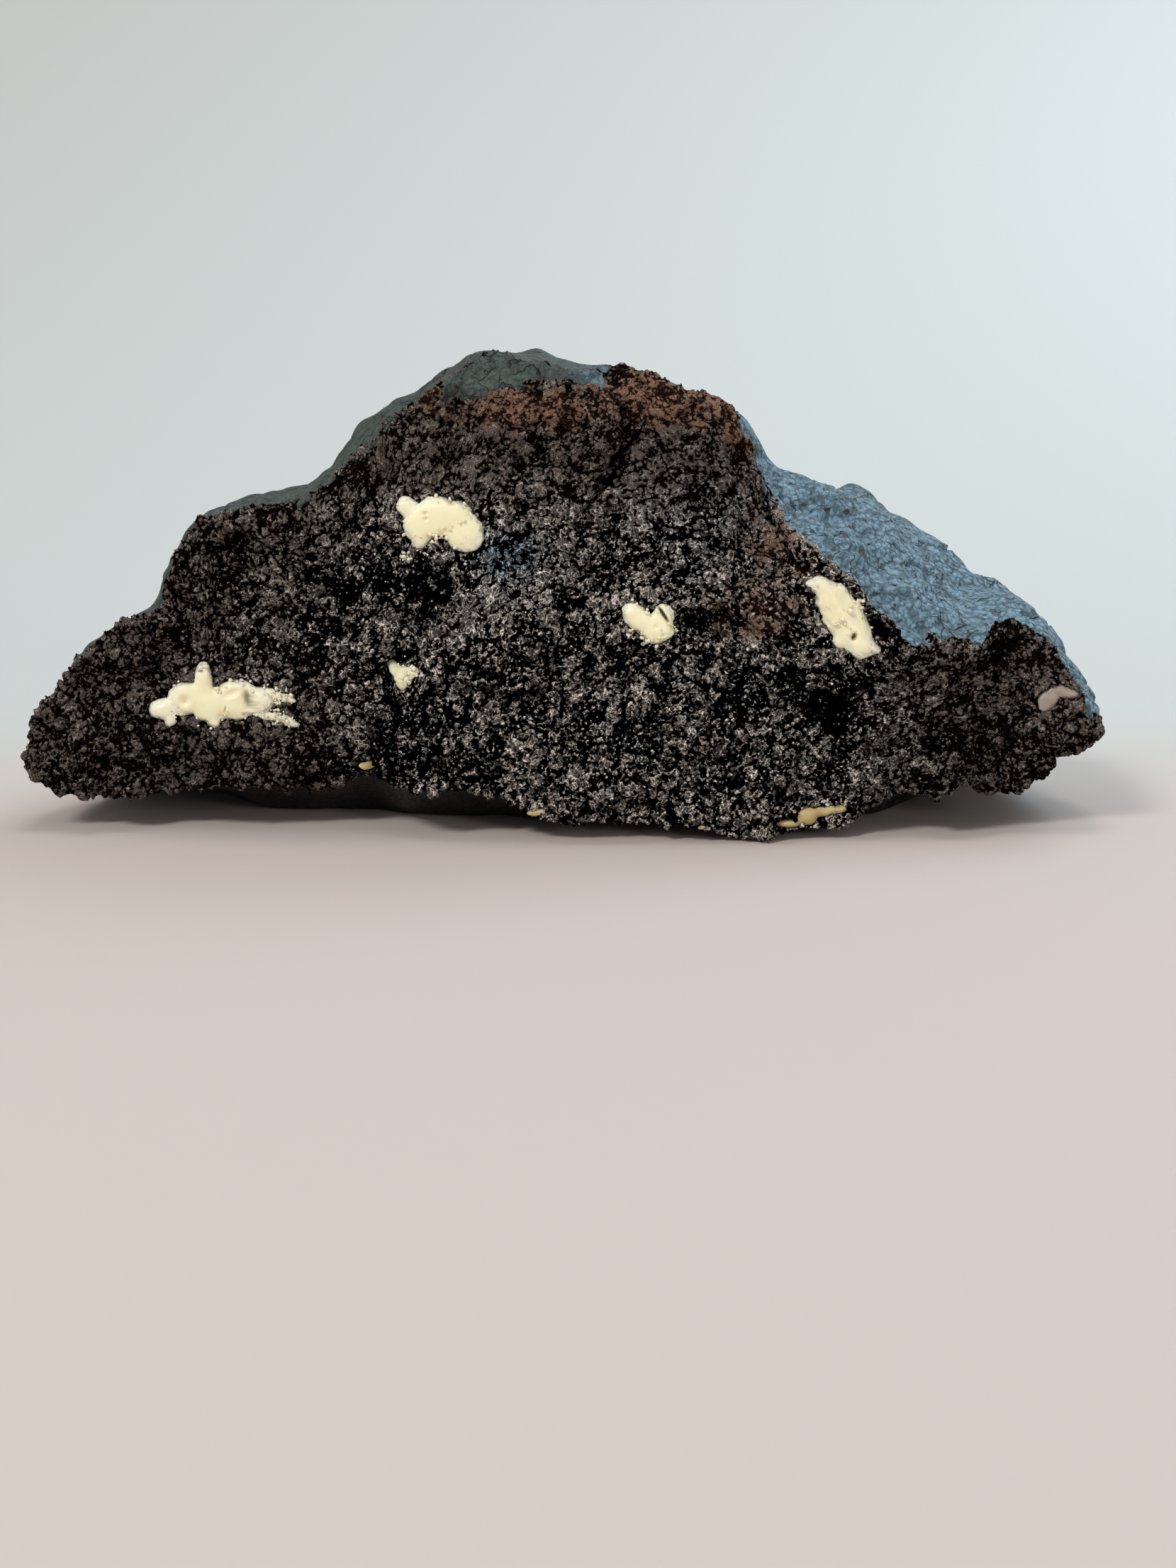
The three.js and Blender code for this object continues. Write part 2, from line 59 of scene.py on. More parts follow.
SOFT_BOXES = [  # place (m), aimed at (m), width, height (m), watts, colour
    ((-0.50, -0.70, 0.75), (0.0, 0.0, 0.02), 0.25, 0.25, 6.0, (1.0, 0.98, 0.95)),
    ((0.42, 0.42, 0.52), (0.0, 0.0, 0.02), 0.40, 0.40, 2.6, (0.66, 0.84, 1.0)),
    ((0.0, 0.10, 0.95), (0.0, 0.0, 0.02), 0.30, 0.30, 1.5, (0.95, 0.98, 1.0)),
    ((0.45, -0.80, 0.25), (0.0, 0.0, 0.02), 0.16, 0.16, 1.2, (1.0, 0.97, 0.93)),
    ((0.35, 0.30, 1.25), (0.15, 1.0, 0.35), 1.2, 0.4, 2.3, (1.0, 1.0, 0.95)),
]
WORLD_COLOUR, WORLD_STRENGTH = (0.95, 0.98, 1.0), 0.42


class Value:
    """A socket on its way through a material. Arithmetic on it adds Math nodes."""

    def __init__(self, finish, socket):
        self.finish, self.socket = finish, socket

    def _math(self, operation, first, second):
        return self.finish.node("ShaderNodeMath", {"operation": operation}, {0: first, 1: second})

    def __add__(self, other):
        return self._math("ADD", self, other)

    def __sub__(self, other):
        return self._math("SUBTRACT", self, other)

    def __rsub__(self, other):
        return self._math("SUBTRACT", other, self)

    def __mul__(self, other):
        return self._math("MULTIPLY", self, other)

    def __abs__(self):
        return self._math("ABSOLUTE", self, 0.0)

    __radd__, __rmul__ = __add__, __mul__


class Finish:
    """A material under construction: its nodes come from `node`, its surface from `principled`."""

    def __init__(self, name):
        self.material = bpy.data.materials.new(name)
        self.material.use_nodes = True
        self.tree = self.material.node_tree
        self.tree.nodes.remove(self.tree.nodes["Principled BSDF"])

    def node(self, kind, settings=None, values=None, output=0):
        """A node of a kind, its settings first, then the values or links of its sockets."""
        node = self.tree.nodes.new(kind)
        for name, setting in (settings or {}).items():
            setattr(node, name, setting)
        self.fill(node, values or {})
        return Value(self, node.outputs[output])

    def fill(self, node, values):
        """Sets or links the inputs of a node."""
        for name, value in values.items():
            if isinstance(value, Value):
                self.tree.links.new(value.socket, node.inputs[name])
            elif isinstance(value, tuple) and node.inputs[name].type == "RGBA":
                node.inputs[name].default_value = (*value, 1.0)
            else:
                node.inputs[name].default_value = value

    def attribute(self, name):
        """A number that the mesh carries at each point."""
        return self.node("ShaderNodeAttribute", {"attribute_name": name}, output="Fac")

    def speckle(self, size_mm, detail=3.0, roughness=0.55):
        """Cloudy noise about 0.5, with clouds of that size."""
        place = self.node("ShaderNodeTexCoord", output="Object")
        values = {"Vector": place, "Scale": 1.0 / (size_mm * MM), "Detail": detail}
        return self.node("ShaderNodeTexNoise", None, {**values, "Roughness": roughness}, "Fac")

    def grit(self, size_mm, wobble=0.5, feature="F1"):
        """Distance to the nearest grain of a scatter of that size, or to the crack between
        two, in grains; the grains are pushed out of round by noise."""
        place = self.node("ShaderNodeTexCoord", output="Object")
        scale = 1.0 / (size_mm * MM)
        cloud = self.node("ShaderNodeTexNoise", None, {"Vector": place, "Scale": scale}, "Color")
        shift = {0: cloud, 1: (2 * wobble / scale,) * 3, 2: place}
        place = self.node("ShaderNodeVectorMath", {"operation": "MULTIPLY_ADD"}, shift)
        values = {"Vector": place, "Scale": scale}
        return self.node("ShaderNodeTexVoronoi", {"feature": feature}, values, "Distance")

    def curls(self, size_mm, width):
        """Thin winding lines, 1 where cloudy noise passes its middle."""
        return 1 - self.between(abs(self.speckle(size_mm, 1.0) - 0.5), 0.0, width)

    def larger(self, first, second):
        """The larger of two numbers."""
        return self.node("ShaderNodeMath", {"operation": "MAXIMUM"}, {0: first, 1: second})

    def between(self, value, low, high):
        """0 below low, 1 above high, smooth in the middle."""
        settings = {"interpolation_type": "SMOOTHSTEP"}
        values = {"Value": value, "From Min": low, "From Max": high}
        return self.node("ShaderNodeMapRange", settings, values)

    def mix(self, share, first, second):
        """One colour passing into another."""
        return self.node("ShaderNodeMix", {"data_type": "RGBA"}, {0: share, 6: first, 7: second}, 2)

    def bumps(self, height, depth_mm, strength=1.0):
        """A normal tilted by a height field of that depth."""
        values = {"Height": height, "Distance": depth_mm * MM, "Strength": strength}
        return self.node("ShaderNodeBump", None, values)

    def principled(self, **values):
        """A surface; an underscore in a name stands for a space."""
        values = {name.replace("_", " "): value for name, value in values.items()}
        return self.node("ShaderNodeBsdfPrincipled", None, values, "BSDF")

    def blend(self, share, first, second):
        """One surface passing into another."""
        return self.node("ShaderNodeMixShader", None, {0: share, 1: first, 2: second})

    def surface(self, shader):
        """Gives the material its surface."""
        self.fill(self.tree.nodes["Material Output"], {"Surface": shader})
        return self.material


def sheet_grid():
    """The backdrop: flat, then a quarter circle, then upright, swept along X."""
    turn = np.linspace(0, math.pi / 2, 24)
    y = [SHEET_FRONT, *(SHEET_BACK + SHEET_CURVE * np.sin(turn)), SHEET_BACK + SHEET_CURVE]
    z = [0.0, *(SHEET_CURVE * (1 - np.cos(turn))), SHEET_TOP]
    x = np.array([-SHEET_HALF_WIDTH, SHEET_HALF_WIDTH])
    return np.stack(np.broadcast_arrays(x[:, None], np.array(y)[None], np.array(z)[None]), -1)


def new_object(name, data):
    """A mesh, light or camera as an object of the scene."""
    thing = bpy.data.objects.new(name, data)
    bpy.context.scene.collection.objects.link(thing)
    return thing


def mesh_object(name, points, faces, finish):
    """A smooth mesh from points in metres and rows of corner numbers, with one material."""
    mesh = bpy.data.meshes.new(name)
    faces = np.asarray(faces)
    mesh.vertices.add(len(points))
    mesh.vertices.foreach_set("co", np.asarray(points, np.float32).ravel())
    mesh.loops.add(faces.size)
    mesh.loops.foreach_set("vertex_index", faces.ravel().astype(np.int32))
    mesh.polygons.add(len(faces))
    starts = np.arange(0, faces.size, faces.shape[1], dtype=np.int32)
    mesh.polygons.foreach_set("loop_start", starts)
    mesh.polygons.foreach_set("use_smooth", np.full(len(faces), True))
    mesh.update(calc_edges=True)
    mesh.validate()
    mesh.materials.append(finish)
    return new_object(name, mesh)


def grid_faces(rows, columns):
    """Corner numbers of the squares of an open grid, row by row."""
    corner = np.arange(rows * columns).reshape(rows, columns)
    quads = [corner[:-1, :-1], corner[1:, :-1], corner[1:, 1:], corner[:-1, 1:]]
    return np.stack(quads, -1).reshape(-1, 4)


board = Finish("pale_board")
board_place = board.node("ShaderNodeTexCoord", output="Object")
board_depth = board.node("ShaderNodeSeparateXYZ", None, {0: board_place}, "Y")
board_tone = board.mix(board.between(board_depth, *WALL_FROM), FLOOR_COLOUR, WALL_COLOUR)
board_tone = board.mix((board.speckle(2.0) - 0.5) * 0.12, board_tone, BOARD_FLECKS)
board.surface(board.principled(Base_Color=board_tone, Roughness=0.9))
sheet = sheet_grid()
backdrop = mesh_object("backdrop", sheet.reshape(-1, 3), grid_faces(*sheet.shape[:2]), board.material)

for number, (place, aim, width, height, watts, colour) in enumerate(SOFT_BOXES):
    light = bpy.data.lights.new(f"soft_box_{number}", "AREA")
    light.shape, light.size, light.size_y = "RECTANGLE", width, height
    light.energy, light.color = watts, colour
    lamp = new_object(light.name, light)
    lamp.location = place
    back = np.array(place) - np.array(aim)
    across = np.cross((0.0, 0.0, 1.0), back)
    across /= np.linalg.norm(across)
    back /= np.linalg.norm(back)
    lamp.rotation_euler = (math.acos(back[2]), 0.0, math.atan2(across[1], across[0]))

world = bpy.data.worlds.new("studio")
world.use_nodes = True
world.node_tree.nodes["Background"].inputs["Color"].default_value = (*WORLD_COLOUR, 1.0)
world.node_tree.nodes["Background"].inputs["Strength"].default_value = WORLD_STRENGTH
bpy.context.scene.world = world
bpy.context.scene.view_settings.view_transform = "Standard"

camera_data = bpy.data.cameras.new("camera")
camera_data.lens, camera_data.sensor_width = CAMERA_LENS, SENSOR_LONG_SIDE
camera_data.clip_start = 0.01
camera = new_object("camera", camera_data)
camera_distance = CAMERA_LENS / SENSOR_LONG_SIDE * IMAGE_HEIGHT * MM_PER_PIXEL * MM
camera.rotation_euler = (math.pi / 2 - CAMERA_PITCH, 0.0, 0.0)
camera.location = (
    CAMERA_TARGET[0] * MM,
    CAMERA_TARGET[1] * MM - camera_distance * math.cos(CAMERA_PITCH),
    CAMERA_TARGET[2] * MM + camera_distance * math.sin(CAMERA_PITCH),
)
bpy.context.scene.camera = camera

# ---- Dough ----
# Black cocoa dough, baked in one thick mound whose heaps ran together, then torn in two. The
# baked skin is matt, dry and a little cracked; the torn crumb is moist, in clods and grains.

LOBE_BLEND, BACK_BLEND = 2.8, 6.5  # softness of the seams, and what the back adds to it
RIM_ROUNDING = 2.0
LOBES = np.array([  # centre and radii of the heaps: mound, crown, left, right, back
    [(0, 8, 2), (49, 43, 26)],
    [(-3.6, 8, 23.6), (20.9, 25, 23)], [(-17, 7, 30.6), (7, 12, 9.3)],
    [(6.5, 4, 33), (9.5, 14, 12.3)], [(13, 4, 31.2), (7.6, 12, 10.8)],
    [(-21, 8, 20.5), (9.5, 16, 14)], [(-31, 7, 17), (8, 15, 7)], [(-27, 6, 23.6), (12.9, 18, 9.4)],
    [(-39.5, 3, 7), (13.4, 15, 12.4)], [(-45.2, 3, 3.5), (7.8, 12, 6)], [(-41.3, 4, 13.9), (6.2, 11, 6.8)],
    [(22, 11, 14), (15, 21, 21)], [(30, 16, 10.8), (15, 23, 20)],
    [(43.2, 8, 8.4), (10.5, 15, 13.8)], [(47, 2, 9), (6.8, 9, 6.5)],
    [(-17, 25, 8), (21, 20, 18)], [(14, 28, 6), (23, 18, 18)], [(0, 40, 6), (16, 11, 10)],
    [(-31, 20, 5), (15, 15, 12)], [(30, 25, 5), (15, 15, 12)],
], float)
SKIN_RELIEF = [(10.0, 1.2), (4.6, 0.8)]  # size of a bump and its height
CRUMB_RELIEF = [(6.5, 1.7), (3.4, 1.4)]
HOLLOWS = [  # in the torn face: x, z, half width, half height, depth (negative: a swell)
    (-40.3, 14.5, 1.5, 1.8, 2.6), (-13.5, 20.8, 3.2, 3.2, 1.2), (12.3, 20.3, 1.4, 1.6, 2.2),
    (26.0, 12.4, 4.2, 3.0, 2.6), (30.5, 15.4, 3.0, 2.2, 1.4), (43.6, 18.0, 2.4, 1.7, 2.4),
    (31.0, 19.9, 1.3, 1.4, 2.4), (39.0, 8.8, 5.5, 2.4, 2.0), (-32.3, 27.6, 1.9, 1.9, 1.6),
    (2.6, 30.6, 3.0, 1.1, 1.2), (-5.4, 18.3, 7.5, 4.0, -1.6), (8.0, 7.0, 16.0, 8.0, -1.4),
    (-12.0, 8.0, 4.5, 6.0, -0.9), (14.0, 30.0, 8.0, 8.0, -0.9), (-42.0, 6.0, 8.0, 5.0, -1.0),
]
CRACKS = [  # in the torn face: both ends (x, z), half width, depth
    (-16.6, 18.0, -18.0, 5.5, 1.1, 2.2), (6.2, 40.6, 5.1, 34.0, 0.9, 2.4),
    (13.4, 20.6, 18.6, 16.0, 1.0, 1.3), (-16.6, 27.8, -12.0, 22.5, 2.0, 1.4),
    (-11.0, 13.4, -2.6, 13.0, 1.1, 1.2), (-2.6, 13.0, 2.4, 15.2, 1.0, 1.1),
    (9.3, 12.6, 9.0, 6.6, 1.0, 1.1), (27.9, 8.6, 32.4, 5.4, 1.1, 1.1),
]
EDGE_RISES = [  # of the torn lower edge above the board: x, half width, height
    (-20, 2.6, 2.3), (6, 9, 1.9), (24, 4, 1.1), (34, 3, 0.6), (39.5, 1.8, 1.4), (46, 5, 1.8),
    (52, 5, 3.2),
]
HINGE_DEPTH = 50.0  # the mesh's slices fan out from a line so far below
SLICES, FACE_STEPS, SKIN_STEPS = 410, 152, 90  # how many, and points of each on face and skin
FAR = 1000.0  # further than any part of the cookie
CLODS = [(2.7, 0.52), (1.4, 0.42), (0.85, 0.38)]  # crumb: size of a clod and its height
CLOD_REACH = sum(high for _, high in CLODS)
CLOD_LEVEL = 0.45  # height in a clod that stays where it was
SKIN_GRAIN = [(3.4, 0.32), (1.4, 0.24)]  # fine relief of the skin
SKIN_CRACKS = (6.0, 0.10, 0.6)  # size of the plates between, width, depth
POCKET_DEPTH = 1.5  # under a chunk
CRUMB_PALER = 0.08  # added to the height by which the crumb is coloured
HOLLOW_SHADE = 0.6  # painted shade: how much darker the crumb is coloured deep in a hollow
NARROW_RIM, WIDE_RIM = 0.7, 3.4  # how far crumb shows over the skin's torn rim
TORN_HUMP = (11.0, 5.5, 8.0)  # x, half width, how far back the hump's top is torn
CAP_EDGE = [  # x, z along the torn edge of the crown's skin
    (-28, 55), (-26, 32), (-22.2, 35.8), (-18.7, 38.9), (-15, 41.0), (-14.6, 47), (-12.4, 47),
    (-11.8, 42.2), (-9.5, 42.0), (-4, 44.0), (1.0, 44.3), (4.8, 42.0),
]
CAP_END = (4.9, 42.2, -0.48)  # x, z of its right lower corner and how its end leans
SHADE_SPOTS = [  # painted shade in the crumb's gullies and hollows: x, z, half width, half height, darkness (negative: paler, painted light)
    (-18.0, 24.5, 6.5, 1.8, 0.40), (-25.0, 17.5, 1.6, 4.0, 0.30), (-12.5, 13.5, 3.0, 2.0, 0.25),
    (-17.2, 7.5, 1.2, 4.5, 0.45), (-22.0, 5.5, 5.0, 1.8, 0.25), (-32.0, 27.0, 2.5, 2.0, 0.25),
    (-38.5, 22.0, 2.0, 4.0, 0.20), (-23.0, 36.0, 3.0, 3.0, 0.20), (22.5, 15.0, 5.0, 2.4, 0.30),
    (25.6, 13.5, 1.5, 1.3, 0.35), (15.5, 11.5, 1.3, 1.6, 0.30), (12.4, 21.5, 2.0, 1.0, 0.35),
    (43.0, 7.5, 4.5, 1.4, 0.30), (44.0, 17.8, 1.6, 1.2, 0.25), (5.6, 37.6, 1.1, 2.6, 0.30),
    (5.0, 44.6, 1.0, 2.2, 0.50), (-6.0, 37.0, 4.5, 0.8, 0.26), (-3.0, 38.5, 14.0, 4.0, -0.15),
    (9.3, 14.6, 0.7, 3.2, 0.35), (-3.5, 12.4, 6.0, 0.8, 0.25), (2.0, 24.6, 2.4, 0.9, 0.25),
    (-17.0, 20.0, 2.2, 1.8, -0.12), (0.0, 30.0, 11.0, 6.0, -0.10), (-8.0, 21.0, 3.0, 3.0, -0.10),
    (20.0, 28.0, 6.0, 8.0, -0.06), (-48.0, 8.0, 6.0, 7.0, 0.12),
]
BROWNED = [  # crumb that dried and turned reddish brown: x, z, half width, half height, share
    (12.0, 43.5, 8.0, 4.2, 1.0), (-4.0, 41.4, 9.0, 2.6, 0.95), (20.5, 28.0, 7.0, 9.0, 0.58),
    (18.0, 21.5, 7.0, 2.2, 0.40), (-21.0, 35.5, 4.5, 3.0, 0.40), (17.6, 39.5, 1.7, 3.2, 0.80),
    (-13.4, 44.2, 1.4, 2.4, 0.90),
]
COOL_SPOTS = [(-5.6, 27.4, 3.6, 2.2, 1.0), (14.0, 33.0, 5.0, 6.0, 0.45)]  # bluish painted glints, a painted reflection of cool light: as BROWNED
MOIST_SPOTS = [(-28.0, 20.0, 9.0, 7.0, 0.7)]  # above the left chunk
BLUE_SHEEN_SPOTS = [(3.2, 44.0, 3.0, 3.0, 0.55)]  # blue, bloomed skin and painted sheen, at the end of the crown's cap
BACK_BLUE_SHEEN = 0.32  # how blue the back's skin is, bloomed and painted sheen
# Tones of crumb, of the painted shade in its crevices, of its painted glints and browned parts, then those
# of the skin: its blue partly bloomed skin, partly painted sheen, its underside partly painted shade.
CRUMB_DRY, CRUMB_MOIST = (0.105, 0.080, 0.069), (0.038, 0.031, 0.027)
CREVICE_SHADE_DRY, CREVICE_SHADE_MOIST = (0.0055, 0.0035, 0.0028), (0.0005, 0.0004, 0.0004)
GLINT, COOL_GLINT, BROWN_GLINT = (1.0, 0.88, 0.78), (0.30, 0.58, 0.82), (0.42, 0.28, 0.20)
BROWN_CREVICE_SHADE, BROWN_TOP = (0.026, 0.013, 0.009), (0.25, 0.135, 0.092)
SKIN_GREEN, SKIN_BLUE_SHEEN, SKIN_CLOUDS = (0.060, 0.078, 0.062), (0.17, 0.285, 0.37), (0.030, 0.042, 0.043)
GAP_TONE, SPECK_TONE, CRACK_TONE = (0.022, 0.030, 0.032), (0.030, 0.018, 0.014), (0.006, 0.006, 0.006)
UNDERSIDE_SHADE_TONE = (0.012, 0.010, 0.009)
CHUNK_BLEND = 0.55  # softness of the seams between a chunk's blobs
CHUNKS = {  # centre x, z, half thickness, height out of the face, blobs (x, z, radii)
    "upper_chunk": (-12.1, 30.35, 2.3, 1.6, [
        (-2.2, -0.1, 1.55, 1.85), (-0.3, 0.9, 2.4, 1.75), (-3.5, 1.75, 0.85, 1.05),
        (1.3, 0.8, 1.9, 1.5), (2.35, -0.9, 1.95, 1.9), (-0.5, -0.3, 1.2, 1.0),
        (-2.0, -1.7, 0.7, 0.55)]),
    "middle_chunk": (8.2, 21.05, 1.9, 1.4, [
        (-1.6, 0.9, 1.1, 1.0), (-0.7, 0.1, 1.4, 1.05), (0.8, -0.6, 1.65, 1.4),
        (1.4, 0.6, 1.0, 1.2)]),
    "right_chunk": (27.3, 21.65, 2.2, 1.5, [
        (-0.1, -0.1, 2.1, 2.0), (-1.1, 1.5, 1.75, 1.7), (-2.3, 2.85, 1.05, 1.0),
        (-3.4, 3.1, 0.6, 0.4), (0.9, -1.6, 1.9, 1.8), (1.8, -3.1, 1.35, 1.25),
        (3.2, -3.45, 0.7, 0.42), (-0.4, -2.6, 0.7, 0.65)]),
    "left_chunk": (-35.0, 12.7, 2.2, 1.6, [
        (-5.2, -0.75, 1.5, 1.05), (-4.4, -1.9, 0.6, 0.7), (-2.8, 0.3, 1.75, 1.65),
        (-1.05, 1.9, 0.9, 2.1), (-0.4, -0.3, 1.9, 1.8), (0.0, -2.1, 0.75, 0.6),
        (2.2, 0.15, 2.4, 2.0), (4.6, 0.1, 1.4, 1.4)]),
    "small_chip": (-15.8, 15.75, 1.3, 0.9, [
        (-0.15, -0.2, 1.0, 1.0), (0.9, 0.3, 0.65, 0.6), (-1.3, 0.7, 0.4, 0.6),
        (0.0, -1.0, 0.4, 0.45)]),
    "dull_chip": (48.6, 13.3, 1.2, 0.7, [
        (-0.7, -0.15, 1.1, 0.9), (0.35, 0.8, 1.0, 0.55), (1.4, 0.35, 1.0, 0.5),
        (-1.0, -0.9, 0.5, 0.45)]),
    "golden_smear": (24.1, 2.2, 1.4, 0.9, [
        (-0.35, 0.0, 0.95, 0.9), (1.05, 0.45, 1.0, 0.5), (2.6, 0.7, 1.0, 0.45),
        (-2.2, -0.7, 1.3, 0.45)]),
}


def ease(low, high, value):
    """0 below low, 1 above high, and 3t² - 2t³ between."""
    t = np.clip((value - low) / (high - low), 0, 1)
    return t * t * (3 - 2 * t)


def soft_min(a, b, blend):
    """The smaller of two distances, rounded where they are closer than the blend."""
    h = np.clip(0.5 + 0.5 * (b - a) / blend, 0, 1)
    return b * (1 - h) + a * h - blend * h * (1 - h)


def corner_value(i, j, k):
    """A repeatable random number from 0 to 1: the fraction of a large sine of the corner."""
    wave = np.sin(i * 127.1 + j * 311.7 + k * 74.7) * 43758.5453
    return wave - np.floor(wave)


def noise(points):
    """Corner values of the unit lattice, blended smoothly over each cell, from -1 to 1."""
    cell = np.floor(points)
    share = points - cell
    share = share * share * (3 - 2 * share)
    total = 0
    for corner in itertools.product((0, 1), repeat=3):
        weight = 1
        for axis in range(3):
            weight = weight * (share[..., axis] if corner[axis] else 1 - share[..., axis])
        total = total + weight * corner_value(*np.moveaxis(cell + corner, -1, 0))
    return 2 * total - 1


def relief(layers, points):
    """Noise of several sizes added up, each with its own height."""
    return sum(height * noise(points / size) for size, height in layers)


def clods(points, size):
    """Rounded crumbs packed side by side: 1 on top of a crumb, 0 in the crevice between two.

    Each lattice cell holds one centre; the height falls with the square of the distance to
    the nearest, and a crevice runs where two centres are as near."""
    place = points / size
    cell = np.floor(place)
    nearest = np.full(points.shape[:-1], 9.0)
    second = nearest.copy()
    for offset in itertools.product((-1, 0, 1), repeat=3):
        corner = cell + offset
        i, j, k = np.moveaxis(corner, -1, 0)
        jitter = [corner_value(i + 17.0, j, k), corner_value(i, j + 31.0, k), corner_value(i, j, k + 57.0)]
        distance = np.linalg.norm(corner + np.stack(jitter, -1) - place, axis=-1)
        second = np.minimum(second, np.maximum(nearest, distance))
        nearest = np.minimum(nearest, distance)
    return np.clip(1 - 0.9 * nearest**2, 0, 1) * ease(0.0, 0.22, second - nearest)


def clod_height(points):
    """Clods of all sizes, each size on top of the larger ones: from 0 to 1."""
    return sum(high * clods(points, size) for size, high in CLODS) / CLOD_REACH


def spots(x, z, places):
    """Soft round spots added up, each from its centre x, z, half width, half height, amount:
    the amount times a bell curve of the distance in half widths."""
    return sum(amount * np.exp(-(((x - cx) / rx) ** 2) - ((z - cz) / rz) ** 2)
               for cx, cz, rx, rz, amount in places)


def ellipsoid_distance(offset, radii):
    """Nearly the distance to an ellipsoid, negative inside."""
    unit = np.linalg.norm(offset / radii, axis=-1)
    slope = np.linalg.norm(offset / radii**2, axis=-1) + 1e-9
    return unit * (unit - 1) / slope


def over_chunks(x, z, margin, low, high):
    """1 on a chunk, falling to 0 between two reaches of its blobs, widened by a margin."""
    share = np.zeros_like(x)
    for cx, cz, _, _, blobs in CHUNKS.values():
        for bx, bz, rx, rz in blobs:
            reach = np.hypot((x - cx - bx) / (rx + margin), (z - cz - bz) / (rz + margin))
            share = np.maximum(share, 1 - ease(low, high, reach))
    return share


def near_chunk(x, z):
    """1 on a chunk, falling to 0 a little outside it."""
    return over_chunks(x, z, 1.2, 0.7, 1.25)


def chunk_pocket(x, z):
    """1 under a chunk and 0 from its outline outwards."""
    return over_chunks(x, z, 0.0, 0.8, 1.1)


def torn_hollows(x, z):
    """Depth of the hollows and cracks in the torn face, bent a little by waves."""
    xw = x + 0.7 * np.sin(0.9 * z + 1) + 0.35 * np.sin(2.1 * z)
    zw = z + 0.6 * np.sin(0.8 * x) + 0.3 * np.sin(1.9 * x + 1)
    depth = spots(xw, zw, HOLLOWS)
    for x0, z0, x1, z1, width, deep in CRACKS:
        ux, uz = x1 - x0, z1 - z0
        t = np.clip(((xw - x0) * ux + (zw - z0) * uz) / (ux * ux + uz * uz), 0, 1)
        off = (xw - x0 - t * ux) ** 2 + (zw - z0 - t * uz) ** 2
        depth = depth + deep * np.exp(-off / width**2)
    return depth


def torn_swell(x, z):
    """The torn face as y(x, z) without its crumb: a low swell that leans back at the crown,
    a step beside the gully, hollows and cracks."""
    y = -3.0 - 5.5 * np.exp(-(((x - 10) / 30) ** 2)) * np.exp(-((z / 34) ** 2)) + 0.06 * z
    y = y + 3.0 * np.exp(-(((x + 5) / 9) ** 2)) * ease(41, 47.5, z)
    return y + 1.3 * (1 - ease(-19.5, -15.5, x)) * (1 - ease(20, 30, z)) + torn_hollows(x, z)


def torn_face(x, z):
    """The torn face as y(x, z) with the larger lumps of its crumb, calmer beside the chunks."""
    lumps = relief(CRUMB_RELIEF, np.stack([x, np.full_like(x, 40.0), z], -1))
    return torn_swell(x, z) + lumps * (1 - 0.85 * near_chunk(x, z))


def baked_distance(points):
    """Distance to the baked outside and underside, negative in the dough. The heaps are
    joined softly and bent by waves that grow towards the back."""
    x, y, z = np.moveaxis(points, -1, 0)
    back = ease(4, 26, y)
    bend = np.stack([
        0.9 * np.sin(0.31 * y + 0.23 * z + 0.6) + 0.4 * np.sin(0.62 * z - 0.41 * y),
        1.3 * np.sin(0.24 * x + 0.19 * z + 1.1) + 0.6 * np.sin(0.53 * x - 0.37 * z),
        0.9 * np.sin(0.27 * x - 0.22 * y + 2) + 0.5 * np.sin(0.58 * x + 0.49 * y),
    ], -1)
    bent = points + (0.15 + 0.85 * back)[..., None] * bend
    distance = np.full(x.shape, FAR)
    for centre, radii in LOBES:
        heap = ellipsoid_distance(bent - centre, radii)
        distance = soft_min(distance, heap, LOBE_BLEND + BACK_BLEND * back)
    return -soft_min(relief(SKIN_RELIEF, points) - distance, z, RIM_ROUNDING)


def curl(points):
    """How far the torn lower edge has curled up from the board at a point."""
    x, y, z = np.moveaxis(points, -1, 0)
    rise = 4.5 * (1 - ease(-9, 2, x)) - 1.2 * (1 - ease(-44, -32, x)) + 3.6 * ease(25, 33, x)
    for cx, width, height in EDGE_RISES:
        rise = rise + height * np.exp(-(((x - cx) / width) ** 2))
    reach = 12 + 26 * ease(30, 46, np.abs(x))
    behind = 1 - ease(0, 1, (y - torn_swell(x, np.zeros_like(x))) / reach)
    return rise * behind * np.maximum(1 - z / 22, 0) ** 2


def on_slice(angle, y, r):
    """A point of a slice: r out from the hinge line, y across."""
    x, z = r * np.cos(angle), r * np.sin(angle) - HINGE_DEPTH
    return np.stack(np.broadcast_arrays(x, y, z), -1)


def torn_y(angle, r):
    """Where a slice meets the torn face."""
    return torn_face(r * np.cos(angle), r * np.sin(angle) - HINGE_DEPTH)


def inside(angle, y, r):
    """Distance to the outside in a slice, negative in the dough."""
    return np.maximum(baked_distance(on_slice(angle, y, r)), torn_y(angle, r) - y)


def slice_centres(angles):
    """Middle (y, r) of each slice's cut through the dough, and whether it meets any."""
    r, y = np.meshgrid(np.arange(HINGE_DEPTH - 2, 110, 1.5), np.arange(-12, 58, 2.0))
    share = np.clip(0.5 - inside(angles[:, None, None], y[None], r[None]) / 1.5, 0, 1)
    weight = share.sum((1, 2)) + 1e-9
    centre_y, centre_r = (share * y).sum((1, 2)) / weight, (share * r).sum((1, 2)) / weight
    return centre_y, centre_r, inside(angles, centre_y, centre_r) < -0.3


